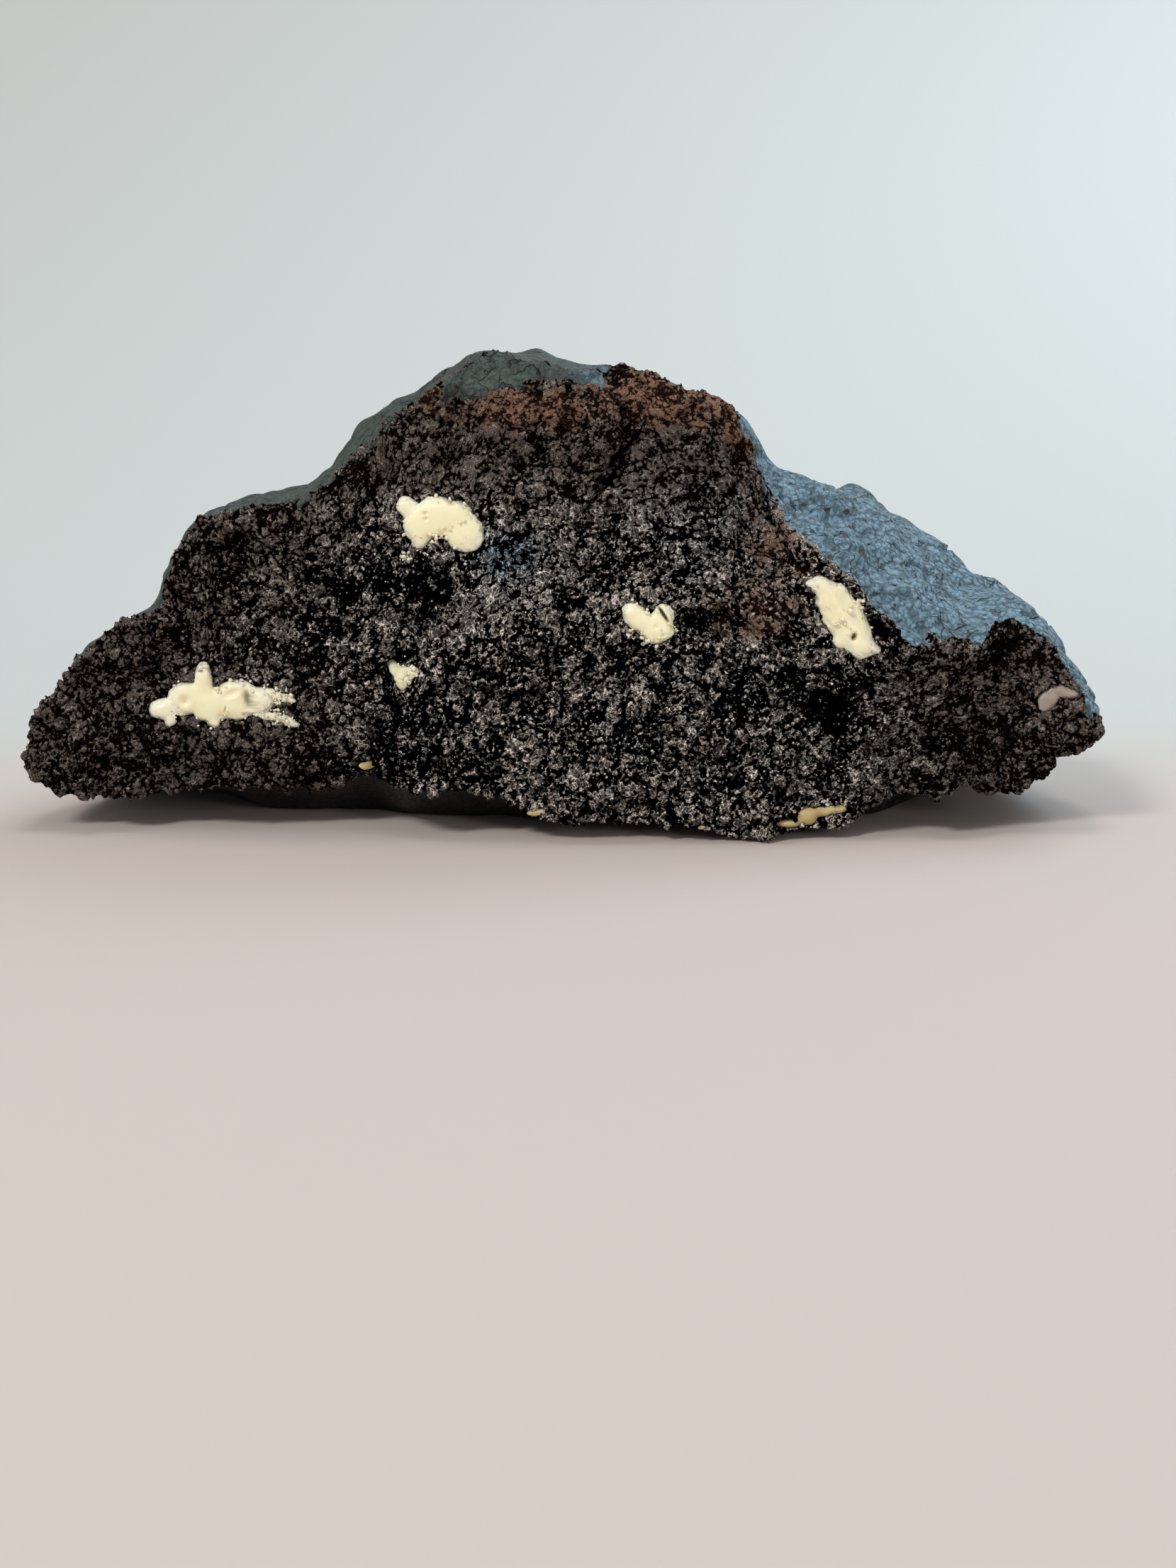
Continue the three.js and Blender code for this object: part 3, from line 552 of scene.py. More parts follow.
def face_spans(angles):
    """Lowest and highest r where each slice meets the torn face, and whether it does."""
    step = 0.25
    r = np.arange(HINGE_DEPTH - 2, 110, step)
    column = angles[:, None]
    met = baked_distance(on_slice(column, torn_y(column, r[None]), r[None])) < 0
    found = met.any(1)
    ends = []
    lowest, highest = met.argmax(1), met.shape[1] - 1 - met[:, ::-1].argmax(1)
    for first, outward in ((lowest, -step), (highest, step)):
        within, beyond = r[first], r[first] + outward
        for _ in range(24):
            middle = (within + beyond) / 2
            holds = baked_distance(on_slice(angles, torn_y(angles, middle), middle)) < 0
            within, beyond = np.where(holds, middle, within), np.where(holds, beyond, middle)
        ends.append(within)
    return ends[0], ends[1], found


def walk_out(angles, centre_y, centre_r, directions):
    """Comes in from far along each direction of a slice until it meets the outside."""
    angle, y, r = (a[:, None] for a in (angles, centre_y, centre_r))
    t = np.full(directions.shape, 80.0)
    along_y, along_r = np.cos(directions), np.sin(directions)
    for _ in range(46):
        t = np.maximum(t - 0.7 * inside(angle, y + t * along_y, r + t * along_r), 0.01)
    return on_slice(angle, y + t * along_y, r + t * along_r)


def last_angle(direction):
    """The outermost slice to the left (1) or right (-1) that still meets the dough."""
    holds, fails = math.pi / 2, math.pi / 2 + direction * 0.9
    for _ in range(16):
        middle = (holds + fails) / 2
        if slice_centres(np.array([middle]))[2][0]:
            holds = middle
        else:
            fails = middle
    return holds


def dough_loops():
    """The dough as closed loops, one a slice: up the torn face, over the skin, back under.

    Slices crowd towards both ends. Skin points are evened out along each loop, with fewer
    on the flat underside. Slices past the torn face's ends take their neighbours' corners."""
    share = np.linspace(0, 1, SLICES)
    crowded = 0.5 - 0.5 * np.cos(math.pi * share)
    left, right = last_angle(1), last_angle(-1)
    angles = left + (right - left) * (0.35 * crowded + 0.65 * share)
    centre_y, centre_r, _ = slice_centres(angles)
    low, high, torn = face_spans(angles)
    corners = [np.arctan2(r - centre_r, torn_y(angles, r) - centre_y) for r in (low, high)]
    nearest = np.arange(SLICES).clip(*np.flatnonzero(torn)[[0, -1]])
    low_turn, high_turn = ((corner % (2 * math.pi))[nearest, None] for corner in corners)
    steps = np.linspace(0, 1, FACE_STEPS)
    r = low[:, None] + (high - low)[:, None] * steps
    face = on_slice(angles[:, None], torn_y(angles[:, None], r), r)
    blunt = walk_out(angles, centre_y, centre_r, low_turn + (high_turn - low_turn) * steps)
    face = np.where(torn[:, None, None], face, blunt)
    steps = np.linspace(0, 1, SKIN_STEPS + 1)
    turns = high_turn + (low_turn - 2 * math.pi - high_turn) * steps
    probes = walk_out(angles, centre_y, centre_r, turns)
    stride = np.linalg.norm(np.diff(probes, axis=1), axis=-1)
    back = ease(4, 24, probes[:, 1:, 1])
    stride = stride * np.where(probes[:, 1:, 2] < 0.05, 0.25, 1.6 - 0.9 * back)
    travelled = np.concatenate([np.zeros((SLICES, 1)), np.cumsum(stride, 1)], 1)
    even = np.array([np.interp(steps * way[-1], way, turn) for way, turn in zip(travelled, turns)])
    skin = walk_out(angles, centre_y, centre_r, even[:, 1:-1])
    loops = np.concatenate([face, skin], 1)
    loops[..., 2] = np.where(np.abs(loops[..., 2]) < 3e-3, 0, loops[..., 2])
    loops[..., 2] += curl(loops)
    return loops


def loop_normals(loops):
    """Outward normals of a grid of closed loops, from the steps along and across it."""
    along = np.roll(loops, -1, 1) - np.roll(loops, 1, 1)
    across = np.gradient(loops, axis=0)
    normal = np.cross(across, along)
    return normal / (np.linalg.norm(normal, axis=-1, keepdims=True) + 1e-9)


def crumb_share(loops):
    """1 on the torn face, and on the skin falling to 0 over a rim of uneven width."""
    step = np.linalg.norm(np.diff(loops[:, FACE_STEPS - 1:], axis=1), axis=-1)
    from_top = np.cumsum(step, 1)
    from_foot = np.cumsum(step[:, ::-1], 1)[:, ::-1]
    foot_gap = np.linalg.norm(loops[:, -1] - loops[:, 0], axis=-1)[:, None]
    from_foot = np.concatenate([from_foot[:, 1:], np.zeros_like(foot_gap)], 1) + foot_gap
    skin = loops[:, FACE_STEPS:]
    ragged = ease(-0.35, 0.45, noise(skin / 5.5) + 0.5 * noise(skin / 1.7))
    rim = NARROW_RIM + (WIDE_RIM - NARROW_RIM) * ragged * (1 - on_cap(skin))
    x, _, z = np.moveaxis(skin, -1, 0)
    middle, half_width, torn_back = TORN_HUMP
    on_hump = np.exp(-(((x - middle) / half_width) ** 4)) * ease(32, 37, z)
    rim = rim + torn_back * (0.4 + ragged) * on_hump
    away = np.minimum(from_top, from_foot * 0.8)
    share = 1 - ease(0.75, 1.0, away / rim)
    return np.concatenate([1 - on_cap(loops[:, :FACE_STEPS]), share], 1)


def on_cap(points):
    """1 where the skin of the crown wraps over the torn edge, down to a ragged line."""
    x, _, z = np.moveaxis(points, -1, 0)
    line = np.interp(x, *np.transpose(CAP_EDGE))
    ragged = 0.8 * noise(points / 2.7) + 0.6 * noise(points / 0.9)
    end_x, end_z, lean = CAP_END
    end = end_x + lean * (z - end_z)
    return ease(-0.2, 0.2, z - line + ragged) * ease(-0.2, 0.2, end - x + 0.4 * ragged)


def painted_shade(x, z):
    """How much darker the crumb is painted, as shade in its gullies and hollows (paler, as painted light,
    where negative), with edges broken up by waves.
    """
    xw = x + 0.8 * np.sin(1.3 * z + 2) + 0.5 * np.sin(2.9 * x + z)
    zw = z + 0.7 * np.sin(1.1 * x) + 0.4 * np.sin(3.1 * z + x)
    return spots(xw, zw, SHADE_SPOTS)


def dough_surface():
    """Points, crumb share and height in the crumb (0 in a crevice, 1 on a crumb); the height, which sets
    the crumb's colour, is lowered by painted shade in hollows and gullies and raised in places by painted
    light.
    """
    loops = dough_loops()
    x, y, z = np.moveaxis(loops, -1, 0)
    crumb = crumb_share(loops)
    warp = np.stack([noise(loops / 1.7 + shift) for shift in (0.0, 19.0, 43.0)], -1)
    height = clod_height(loops + 0.6 * warp)
    plate, width, deep = SKIN_CRACKS
    crack = 1 - ease(0.0, width, np.abs(noise(loops / plate) + 0.25 * noise(loops / 1.6)))
    cracked = ease(-0.2, 0.3, noise(loops / 13.0 + 7.0))
    skin = relief(SKIN_GRAIN, loops) - deep * crack * cracked
    calm = 1 - 0.9 * near_chunk(x, z) * (y < 8)
    clod = crumb * (height - CLOD_LEVEL) * CLOD_REACH * calm
    offset = (clod + (1 - crumb) * skin * ease(0.0, 1.2, z)) * ease(-0.01, 0.6, z)
    points = loops + loop_normals(loops) * offset[..., None]
    points[:, :FACE_STEPS, 1] += POCKET_DEPTH * chunk_pocket(x, z)[:, :FACE_STEPS]
    points[..., 2] = np.maximum(points[..., 2], 0)
    # Painted shade: deep in a hollow the crumb is coloured darker.
    shade = HOLLOW_SHADE * ease(0.8, 2.4, torn_hollows(x, z)) * (y < 6)
    return points, crumb, height + CRUMB_PALER - shade - painted_shade(x, z)


def loft_faces(rows, columns):
    """Squares between closed loops, then the triangles that close both ends as fans."""
    corner = np.arange(rows * columns).reshape(rows, columns)
    after = np.roll(corner, -1, 1)
    sides = np.stack([corner[:-1], corner[1:], after[1:], after[:-1]], -1).reshape(-1, 4)
    triangles = np.concatenate([sides[:, [0, 1, 2]], sides[:, [0, 2, 3]]])
    middles = rows * columns + np.arange(2)
    start = np.stack([np.full(columns, middles[0]), corner[0], after[0]], -1)
    end = np.stack([np.full(columns, middles[1]), after[-1], corner[-1]], -1)
    return np.concatenate([triangles, start, end])


def with_ends(grid):
    """The points of a grid of loops, then the middles of its first and last loop."""
    return np.concatenate([grid.reshape(-1, 3), [grid[0].mean(0), grid[-1].mean(0)]])


def to_row(points):
    """From millimetres about the torn face to metres about the row's origin."""
    return (np.asarray(points).reshape(-1, 3) - (0, FACE_TO_ORIGIN, 0)) * MM


def carry(thing, **numbers):
    """Stores numbers at the points of a mesh for its material to read."""
    for name, values in numbers.items():
        attribute = thing.data.attributes.new(name, "FLOAT", "POINT")
        attribute.data.foreach_set("value", np.asarray(values, np.float32).ravel())


def tints(points):
    """The numbers by which the finish varies from place to place, each from 0 to 1."""
    x, y, z = np.moveaxis(points, -1, 0)
    # Moist in the middle of the face, less at both ends, under the left chunk and in the crown.
    middle = ease(-28, -16, x) * (1 - ease(24, 42, x)) * (1 - ease(28, 37, z))
    # Bluest, where the skin bloomed and a painted reflection of cool light lies, on the right shelf and at
    # the right end of the crown's cap, even at the back.
    far = 0.9 * ease(8, 28, y)
    cap_end = spots(x, z, BLUE_SHEEN_SPOTS) * np.exp(-((y / 7) ** 2))
    numbers = {
        "browning": spots(x, z, BROWNED),
        "gloss": middle + spots(x, z, MOIST_SPOTS),
        "bloom_and_sheen": ease(0, 26, x) * (1 - far) + BACK_BLUE_SHEEN * far + cap_end,
        # Where the painted glints are bluish, a painted reflection of cool light.
        "cool": spots(x, z, COOL_SPOTS),
    }
    return {name: np.clip(number, 0, 1) for name, number in numbers.items()}


def crumb_shader(dough, fine, middle, wide):
    """Dark crumb: black in its crevices by painted shade, brown where it dried, sticky where it is moist,
    with painted glints (painted highlights), strongest where moist. They are thin curls and the rims of
    small round cells."""
    grain, cells = 1 - dough.grit(0.42, 0.6) * 1.2, dough.grit(0.95, 0.8)
    rings = 1 - dough.between(abs(cells - 0.34), 0.0, 0.095)
    glints = dough.larger(dough.curls(0.7, 0.062), rings)
    # Veins: winding grooves in the bump, also coloured darker as painted shade.
    veins = dough.larger(dough.curls(3.4, 0.04), dough.curls(2.1, 0.03))
    height, moist = dough.attribute("height"), dough.attribute("gloss")
    lump = height * 0.5 + grain * 0.5 + (middle - 0.5) * 0.4 + (wide - 0.5) * 0.3 - veins * 0.18
    # Painted shade: where the lump is low the colour falls to the crevice tone, black in moist crumb.
    tone, lit = dough.between(lump, 0.38, 0.58), dough.between(lump, 0.37, 0.53)
    crevice = dough.mix(moist, CREVICE_SHADE_DRY, CREVICE_SHADE_MOIST)
    colour = dough.mix(tone, crevice, dough.mix(moist, CRUMB_DRY, CRUMB_MOIST))
    # Painted glints, painted highlights: warm, or bluish where a reflection of cool light is painted.
    shine = dough.mix(dough.attribute("cool"), GLINT, COOL_GLINT)
    colour = dough.mix(glints * lit * (moist * 0.75 + 0.25), colour, shine)
    brown = dough.attribute("browning") + (middle - 0.5) * 1.1 + (wide - 0.5) * 0.6
    # Browned crumb too gets painted shade in its crevices and painted glints on its tops.
    rust = dough.mix(tone, BROWN_CREVICE_SHADE, BROWN_TOP)
    rust = dough.mix(glints * tone * 0.6, rust, BROWN_GLINT)
    colour = dough.mix(dough.between(brown, 0.35, 0.85), colour, rust)
    relief = dough.bumps(grain * 0.6 + fine * 0.2 + glints * 0.6 - veins * 0.6, 0.40)
    dry = dough.principled(Base_Color=colour, Roughness=0.95, Normal=relief, Specular_IOR_Level=0.0)
    sticky = dough.principled(
        Base_Color=colour, Roughness=0.22 + fine * 0.2, Normal=relief, Specular_IOR_Level=1.0)
    return dough.blend((moist * 0.85 + 0.1) * lit, dry, sticky)


def skin_shader(dough, fine, middle, wide):
    """Baked skin: green-grey, blue where it bloomed and where a painted reflection of cool light lies;
    small scales with dark gaps, clouds, specks of crumb and patches of fine cracks; darker on the
    underside, partly its own tone and partly painted shade."""
    # Blue where the skin bloomed and where a painted reflection of cool light lies on it.
    share = dough.between(dough.attribute("bloom_and_sheen") + (wide - 0.5) * 0.9, 0.0, 0.9)
    colour = dough.mix(share, SKIN_GREEN, SKIN_BLUE_SHEEN)
    clouds = dough.between(fine * 0.4 + middle * 0.6, 0.46, 0.62)
    colour = dough.mix(clouds * 0.65, colour, SKIN_CLOUDS)
    scales = dough.grit(0.7, 0.45)
    gaps = dough.between(scales + (fine - 0.5) * 0.3, 0.42, 0.62)
    colour = dough.mix(gaps * 0.55, colour, GAP_TONE)
    specks = 1 - dough.between(dough.grit(1.5, 0.8) + (middle - 0.5) * 0.9, 0.10, 0.22)
    colour = dough.mix(specks * 0.9, colour, SPECK_TONE)
    cracks = 1 - dough.between(dough.grit(2.8, 0.7, "DISTANCE_TO_EDGE"), 0.0, 0.035)
    net = cracks * dough.between(wide * 0.6 + middle * 0.4, 0.46, 0.58)
    colour = dough.mix(net * 0.75, colour, CRACK_TONE)
    # Darker underside: partly its own tone, partly painted shade on faces turned down.
    colour = dough.mix(dough.attribute("under"), colour, UNDERSIDE_SHADE_TONE)
    return dough.principled(
        Base_Color=colour, Roughness=0.6 + (fine - 0.5) * 0.3,
        Normal=dough.bumps(middle * 0.4 - scales - net, 0.40), Specular_IOR_Level=0.3)


def dough_finish():
    """Moist crumb and dry skin, divided by the mesh's crumb share."""
    dough = Finish("dough")
    fine, middle, wide = dough.speckle(0.3), dough.speckle(1.6), dough.speckle(7.0)
    torn = dough.between(dough.attribute("crumb") + (fine - 0.5) * 0.9, 0.4, 0.6)
    skin, crumb = skin_shader(dough, fine, middle, wide), crumb_shader(dough, fine, middle, wide)
    return dough.surface(dough.blend(torn, skin, crumb))


dough_material = dough_finish()
dough_points, dough_crumb, dough_height = dough_surface()
dough_normals = loop_normals(dough_points)
# How far each point faces down, for the underside tone that is partly painted shade.
dough_under_shade = ease(0.1, 0.7, -dough_normals[..., 2])
all_points = with_ends(dough_points)
dough_faces = loft_faces(SLICES, dough_points.shape[1])
dough = mesh_object("torn_dough", to_row(all_points), dough_faces, dough_material)
carry(dough, crumb=np.append(dough_crumb, [1, 1]), height=np.append(dough_height, [0.5, 0.5]),
      under=np.append(dough_under_shade, [0, 0]), **tints(all_points))
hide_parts("cookie_dough")
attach(dough, "root")

# ---- Loose crumb ----
# Clods and grains of crumb that the tear left standing on the face and along its edges, and
# the three that hang at its lower right end. The same dough, in pieces of 0.3 to 5 mm.

RANDOM = np.random.default_rng(11)
CLOD_COUNT, CLOD_SIZE = 260, (0.36, 0.3)  # median radius in mm, spread of its logarithm
GRAIN_COUNT, GRAIN_SIZE = 6000, (0.14, 0.30)
RIM_STEPS = 8  # points of a slice past the torn edge that hold crumb
HANGING = [  # centre and radius of the crumbs at the lower right end
    ((43.5, -1.5, 6.2), 2.7), ((47.4, -1.0, 6.4), 2.1), ((51.2, -0.5, 10.0), 2.4),
]


def ball(divisions):
    """Corners and triangles of a unit ball of even triangles."""
    shape = bmesh.new()
    bmesh.ops.create_icosphere(shape, subdivisions=divisions, radius=1.0)
    corners = np.array([v.co for v in shape.verts])
    faces = np.array([[v.index for v in f.verts] for f in shape.faces])
    shape.free()
    return corners, faces


def copied_faces(faces, corners, count):
    """Corner numbers of so many copies of a small mesh, one after another."""
    return (faces[None] + np.arange(count)[:, None, None] * len(corners)).reshape(-1, 3)


def turned(count):
    """Random turns as rotation matrices, from unit quaternions."""
    quaternions = RANDOM.normal(size=(4, count))
    w, x, y, z = quaternions / np.linalg.norm(quaternions, axis=0)
    return np.moveaxis(np.array([
        [1 - 2 * (y * y + z * z), 2 * (x * y - w * z), 2 * (x * z + w * y)],
        [2 * (x * y + w * z), 1 - 2 * (x * x + z * z), 2 * (y * z - w * x)],
        [2 * (x * z - w * y), 2 * (y * z + w * x), 1 - 2 * (x * x + y * y)],
    ]), -1, 0)


def scattered_crumbs(count, size, jagged, sunk):
    """Crumbs set at random on the torn face: each a ball with every corner moved in or out,
    stretched, turned, and sunk by a share of its radius."""
    corners, faces = ball(1)
    reach = FACE_STEPS + RIM_STEPS
    loops, normal = dough_points[:, :reach], dough_normals[:, :reach]
    across, along = (np.linalg.norm(np.gradient(loops, axis=axis), axis=-1) for axis in (0, 1))
    clear = 1 - chunk_pocket(loops[..., 0], loops[..., 2])
    weight = (across * along * clear * dough_crumb[:, :reach] ** 4).ravel()
    chosen = RANDOM.choice(weight.size, count, p=weight / weight.sum())
    place, out = loops.reshape(-1, 3)[chosen], normal.reshape(-1, 3)[chosen]
    radius = size[0] * np.exp(size[1] * RANDOM.normal(size=count))
    shape = corners[None] * (1 + jagged * RANDOM.uniform(-1, 1, (count, len(corners), 1)))
    shape = shape * RANDOM.uniform(0.55, 1.45, (count, 1, 3)) * radius[:, None, None]
    shape = np.einsum("nij,nvj->nvi", turned(count), shape)
    points = place[:, None] + shape + (out * radius[:, None] * (1 - 2 * sunk))[:, None]
    points[..., 2] = np.maximum(points[..., 2], 0.05)
    height = np.repeat(RANDOM.uniform(0.25, 0.95, count), len(corners))
    return points.reshape(-1, 3), copied_faces(faces, corners, count), height


def crumb_piece(name, points, faces, height):
    """A mesh of crumb with the numbers that the dough's finish reads."""
    piece = mesh_object(name, to_row(points), faces, dough_material)
    carry(piece, crumb=np.ones(len(points)), height=height, **tints(points))
    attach(piece, "root")


crumb_piece("crumb_clods", *scattered_crumbs(CLOD_COUNT, CLOD_SIZE, 0.25, 0.62))
crumb_piece("crumb_grains", *scattered_crumbs(GRAIN_COUNT, GRAIN_SIZE, 0.3, 0.6))


def hanging_crumb(centre, radius, corners):
    """A lumpy ball of crumb: waves of 1.9 mm, then clods. Also its height in the crumb."""
    swell = 1 + 0.34 * noise((np.array(centre) + radius * corners) / 1.9)
    points = np.array(centre) + radius * corners * swell[:, None]
    height = clod_height(points)
    return points + corners * ((height - CLOD_LEVEL) * 1.1)[:, None], height


ball_corners, ball_faces = ball(6)
lumps, lump_heights = zip(*(hanging_crumb(*spec, ball_corners) for spec in HANGING))
lump_faces = copied_faces(ball_faces, ball_corners, len(HANGING))
crumb_piece("hanging_crumbs", np.concatenate(lumps), lump_faces, np.concatenate(lump_heights))

# ---- White chocolate ----
# Chunks of white chocolate that softened in the oven and were torn through or pulled out of
# the other half: waxy, cream coloured, whiter at frayed edges, with crumb stuck to them.

CHUNK_NODES = {
    "upper_chunk": "white_chunk_upper", "middle_chunk": "white_chunk_middle",
    "right_chunk": "white_chunk_right", "left_chunk": "white_chunk_left",
    "small_chip": "white_chip_small", "dull_chip": "dull_chip_right_end",
    "golden_smear": "golden_drip",
}
AROUND, DOWN = 160, 72  # vertices round a chunk and from front to back
FRONT_BULGE = 1.5  # most that a torn chunk swells towards the front
PITS = {  # in a chunk's front: x, z, half length, half width, turn in degrees, depth
    "upper_chunk": [(-1.5, 1.1, 0.25, 0.16, 0, 0.3), (-1.45, 0.55, 0.2, 0.18, 0, 0.3),
                    (1.0, 2.1, 0.45, 0.2, -30, 0.4), (0.4, -0.6, 0.3, 0.15, 40, 0.2)],
    "middle_chunk": [(1.45, 0.75, 0.95, 0.17, -56, 0.9), (0.7, -0.35, 0.25, 0.25, 0, 0.15),
                     (1.45, -1.2, 0.25, 0.15, 0, 0.25)],
    "right_chunk": [(1.0, -2.1, 0.42, 0.28, 70, 0.7), (-1.5, -0.8, 0.5, 0.2, -60, 0.15),
                    (0.4, 0.9, 2.2, 0.6, -55, 0.25)],
    "left_chunk": [(-1.2, 3.05, 0.3, 0.13, 0, 0.5), (-2.9, 0.2, 0.55, 0.55, 0, 0.3),
                   (3.4, 0.3, 1.1, 0.4, 100, 0.55), (1.9, 0.9, 0.8, 0.35, 20, 0.25)],
}
SMEARS = {  # thin streaks of white chocolate beside the chunks: as CHUNKS
    "smear_under_upper": (-15.4, 27.2, 0.7, 0.35, [
        (0.0, 0.0, 0.6, 0.45), (0.55, 0.5, 0.4, 0.35), (-0.6, -0.25, 0.35, 0.3)]),
    "smear_right_of_left": (-28.2, 13.2, 0.8, 0.4, [
        (-1.2, 0.5, 0.7, 0.55), (-0.3, 0.2, 0.6, 0.5), (0.5, -0.15, 0.5, 0.35),
        (1.2, -0.4, 0.4, 0.2)]),
    "smear_low_left": (-28.6, 11.1, 0.8, 0.35, [
        (-2.2, 0.45, 0.6, 0.35), (-1.2, 0.2, 0.7, 0.55), (-0.2, 0.1, 0.6, 0.45),
        (0.7, -0.3, 0.75, 0.55), (1.6, -0.6, 0.5, 0.3)]),
}
GOLDEN_BITS = {  # browned drops of chocolate along the lower edge: as CHUNKS
    "bit_gully": (-19.8, 6.5, 0.5, 0.35, [(0.0, 0.0, 0.75, 0.32), (0.8, 0.15, 0.5, 0.25)]),
    "bit_left": (-15.2, 5.0, 0.4, 0.25, [(0.0, 0.0, 0.6, 0.22)]),
    "bit_middle": (-3.0, 2.6, 0.4, 0.25, [(0.0, 0.0, 0.7, 0.22), (0.9, 0.1, 0.5, 0.2)]),
    "bit_right": (13.5, 1.4, 0.4, 0.25, [(0.0, 0.0, 0.6, 0.2)]),
}
# Cream, milky and deep tones of the three chocolates, then what sticks to all of them.
WHITE_TONES = (0.97, 0.89, 0.60), (0.97, 0.93, 0.81), (0.86, 0.73, 0.38)
DULL_TONES = (0.34, 0.27, 0.225), (0.44, 0.37, 0.32), (0.17, 0.115, 0.09)
GOLDEN_TONES = (0.56, 0.42, 0.18), (0.66, 0.55, 0.30), (0.34, 0.19, 0.06)
STUCK_CRUMB, SMEARED_CRUMB, IN_A_PIT = (0.22, 0.15, 0.08), (0.20, 0.165, 0.13), (0.055, 0.045, 0.03)
BITS_PER_CHUNK, BIT_RADIUS = 42, 0.13  # frayed bits beside each white chunk or smear


def chunk_distance(blobs, thickness, offset):
    """Distance to a chunk: flat ellipsoids melted together, thinner where they are small."""
    distance = np.full(offset.shape[:-1], FAR)
    for bx, bz, rx, rz in blobs:
        thick = thickness * min(1.0, 0.45 + 0.4 * min(rx, rz))
        blob = ellipsoid_distance(offset - (bx, 0, bz), np.array((rx, thick, rz)))
        distance = soft_min(distance, blob, CHUNK_BLEND)
    return distance


def chunk_surface(name, spec, around, down):
    """A chunk on a grid of directions, from its front round to its back: each runs out to
    the melted blobs, then fine waves, a frayed edge and pits are added."""
    cx, cz, thickness, proud, blobs = spec
    turn = np.arange(around) / around * 2 * math.pi
    tilt = np.linspace(0.02, math.pi - 0.02, down)
    turn, tilt = np.meshgrid(turn, tilt)
    out = np.stack([np.sin(tilt) * np.cos(turn), -np.cos(tilt), np.sin(tilt) * np.sin(turn)], -1)
    t = np.full(turn.shape, 9.0)
    for _ in range(70):
        t = t - 0.8 * chunk_distance(blobs, thickness, out * t[..., None])
    offset = out * t[..., None]
    seed = offset + (cx, 0, cz)
    edge = np.sin(tilt) ** 4
    size = min(1.0, 0.5 + thickness / 4)
    wave = 0.10 * noise(seed / 1.6) + 0.04 * noise(seed / 0.6) + 0.015 * noise(seed / 0.25)
    fray = edge * (0.20 * noise(seed / 0.8 + 9.0) + 0.14 * noise(seed / 0.35))
    offset = offset + out * (size * (wave + fray))[..., None]
    flat = -FRONT_BULGE * (1 - np.exp(np.minimum(offset[..., 1], 0) / FRONT_BULGE))
    offset[..., 1] = np.where(offset[..., 1] < 0, flat, offset[..., 1])
    pit = np.zeros(t.shape)
    for px, pz, length, width, degrees, depth in PITS.get(name, []):
        lean = math.radians(degrees)
        along = (offset[..., 0] - px) * math.cos(lean) + (offset[..., 2] - pz) * math.sin(lean)
        beside = (offset[..., 2] - pz) * math.cos(lean) - (offset[..., 0] - px) * math.sin(lean)
        hole = np.exp(-(((along / length) ** 2 + (beside / width) ** 2) ** 1.5))
        pit = np.maximum(pit, hole * (offset[..., 1] < 0) * depth)
    offset[..., 1] += pit
    middle = torn_swell(cx + 0.5 * offset[..., 0], cz + 0.5 * offset[..., 2])
    y = middle + offset[..., 1] + thickness - proud
    points = np.stack([cx + offset[..., 0], y, cz + offset[..., 2]], -1)
    return points, ease(0.15, 0.7, pit), edge


def chocolate_finish(name, cream, milky, deep):
    """Waxy chocolate: cream, milky where it is frayed, deeper yellow in clouds, with crumb stuck and
    smeared on it and darker in pits.
    """
    wax = Finish(name)
    fine, middle = wax.speckle(0.3), wax.speckle(1.8)
    rim = wax.attribute("frayed")
    frayed = wax.between(rim + (middle - 0.5) * 0.6, 0.45, 1.1)
    colour = wax.mix(wax.between(middle, 0.45, 0.75) * 0.5, cream, deep)
    colour = wax.mix(frayed * 0.8, colour, milky)
    stuck = 1 - wax.between(wax.grit(1.5) + (fine - 0.5) * 0.35, 0.05, 0.13)
    colour = wax.mix(stuck * 0.6, colour, STUCK_CRUMB)
    smeared = wax.between(rim + (fine - 0.5) * 1.5 + (middle - 0.5) * 0.8, 0.85, 1.35)
    colour = wax.mix(smeared * 0.75, colour, SMEARED_CRUMB)
    colour = wax.mix(wax.attribute("pitted"), colour, IN_A_PIT)
    return wax.surface(wax.principled(
        Base_Color=colour, Roughness=0.42 + (fine - 0.5) * 0.2 + frayed * 0.15,
        Normal=wax.bumps(fine * 0.5 + middle, 0.08, 0.5), Subsurface_Weight=0.25,
        Subsurface_Radius=(0.0016, 0.0011, 0.0006), Subsurface_Scale=1.0, Coat_Weight=0.12,
        Coat_Roughness=0.25))


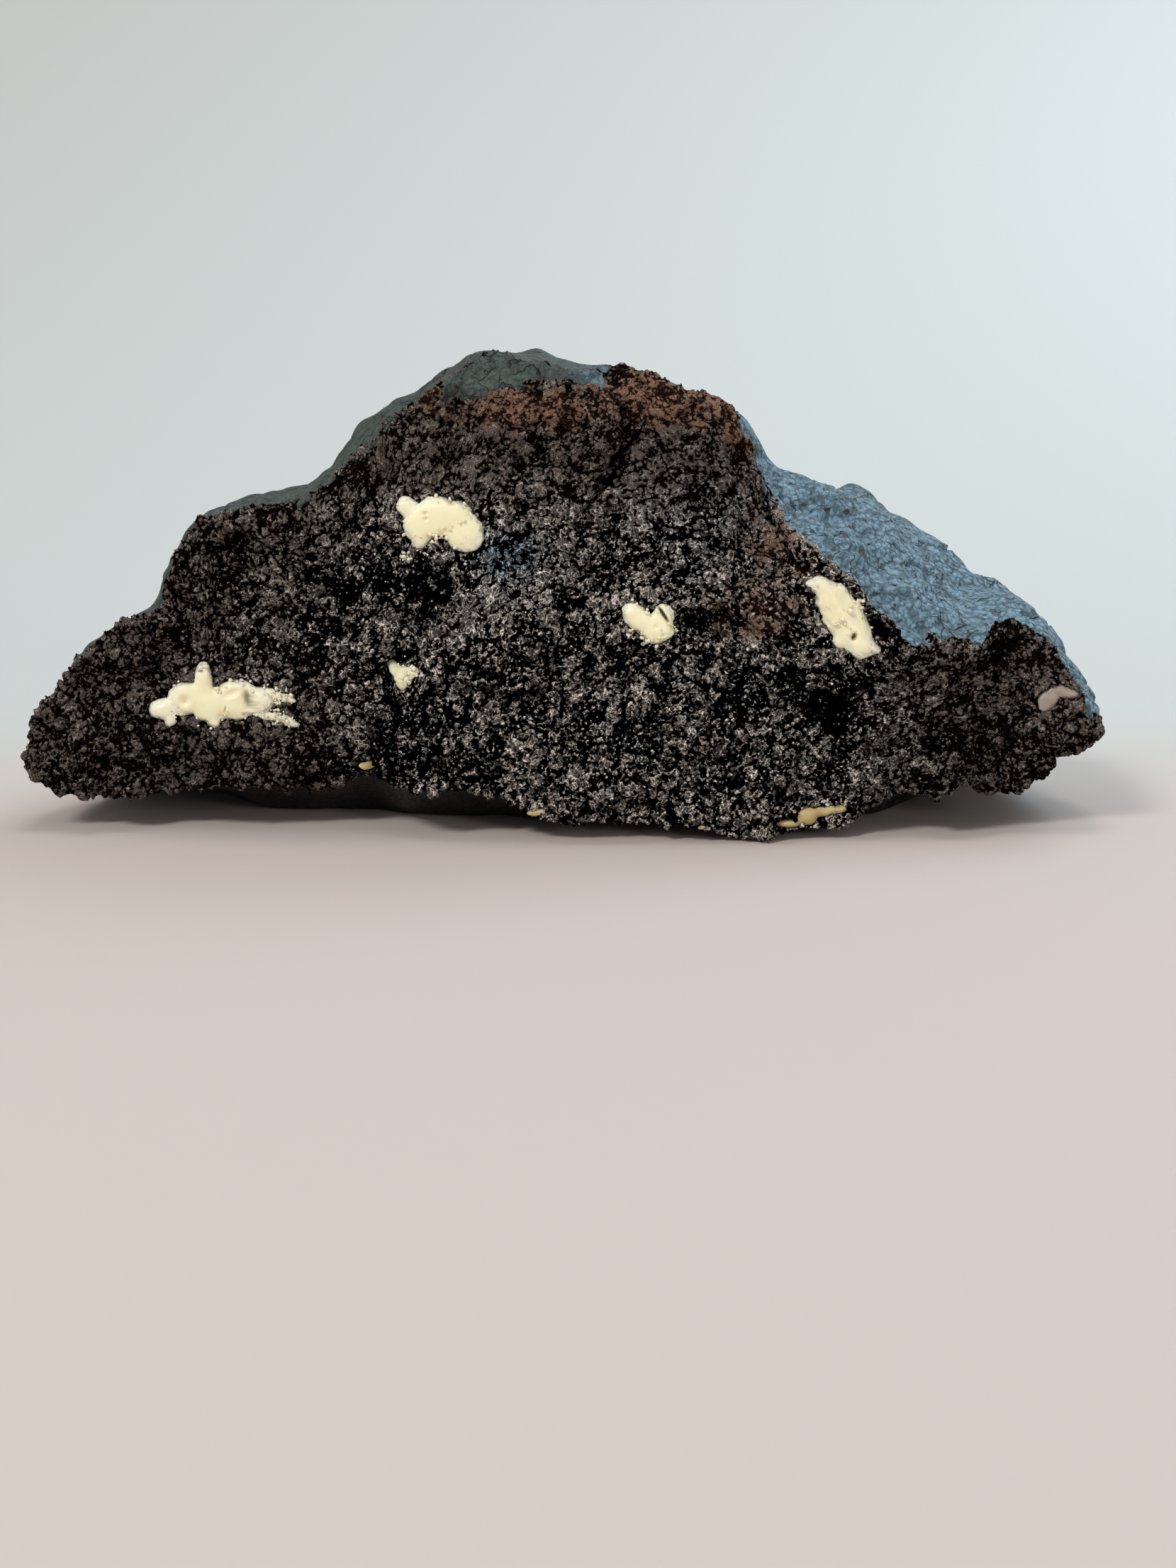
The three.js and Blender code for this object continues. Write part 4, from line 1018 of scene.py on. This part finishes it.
def chunk_piece(name, specs, finish, around=AROUND, down=DOWN):
    """One mesh of one or more chunks of like chocolate."""
    points, pitted, frayed = [], [], []
    for key, spec in specs.items():
        grid, pit, edge = chunk_surface(key, spec, around, down)
        points.append(with_ends(grid))
        pitted.append(np.append(pit, [0, 0]))
        frayed.append(np.append(edge, [0, 0]))
    faces = copied_faces(loft_faces(down, around), points[0], len(points))
    piece = mesh_object(name, to_row(np.concatenate(points)), faces, finish)
    carry(piece, pitted=np.concatenate(pitted), frayed=np.concatenate(frayed))
    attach(piece, "root")
    return piece


def frayed_bits(specs, each):
    """Crumbs of chocolate set at random where the chunks' sides meet the torn face."""
    corners, faces = ball(1)
    points = []
    for name, spec in specs.items():
        grid = chunk_surface(name, spec, AROUND, DOWN)[0].reshape(-1, 3)
        middle = (spec[0], 0.0, spec[1])
        gap = grid[:, 1] - torn_swell(grid[:, 0], grid[:, 2])
        sides = grid[np.abs(gap) < 0.4]
        places = sides[RANDOM.choice(len(sides), each)]
        outward = (places - middle) * (1, 0, 1)
        outward /= np.linalg.norm(outward, axis=1, keepdims=True)
        places = places + outward * RANDOM.gamma(1.2, 0.22, (each, 1)) - (0, 0.15, 0)
        radius = BIT_RADIUS * np.exp(0.35 * RANDOM.normal(size=each))
        shape = corners[None] * RANDOM.uniform(0.5, 1.6, (each, 1, 3)) * radius[:, None, None]
        points.append(places[:, None] + np.einsum("nij,nvj->nvi", turned(each), shape))
    points = np.concatenate(points)
    return points.reshape(-1, 3), copied_faces(faces, corners, len(points))


white = chocolate_finish("white_chocolate", *WHITE_TONES)
dull = chocolate_finish("dull_chocolate", *DULL_TONES)
golden = chocolate_finish("golden_chocolate", *GOLDEN_TONES)
FINISHES = {"dull_chip": (dull, "dull_chocolate"), "golden_smear": (golden, "golden_chocolate")}
for chunk_name, chunk_spec in CHUNKS.items():
    chocolate, slot_name = FINISHES.get(chunk_name, (white, "white_chocolate"))
    chunk = chunk_piece(chunk_name, {chunk_name: chunk_spec}, chocolate)
    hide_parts(CHUNK_NODES[chunk_name])
chunk_piece("white_smears", SMEARS, white, 48, 24)
chunk_piece("golden_bits", GOLDEN_BITS, golden, 48, 24)

whites = {name: spec for name, spec in CHUNKS.items() if name not in FINISHES}
bit_points, bit_faces = frayed_bits({**whites, **SMEARS}, BITS_PER_CHUNK)
bits = mesh_object("white_crumbs", to_row(bit_points), bit_faces, white)
carry(bits, pitted=np.zeros(len(bit_points)), frayed=np.full(len(bit_points), 0.7))
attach(bits, "root")
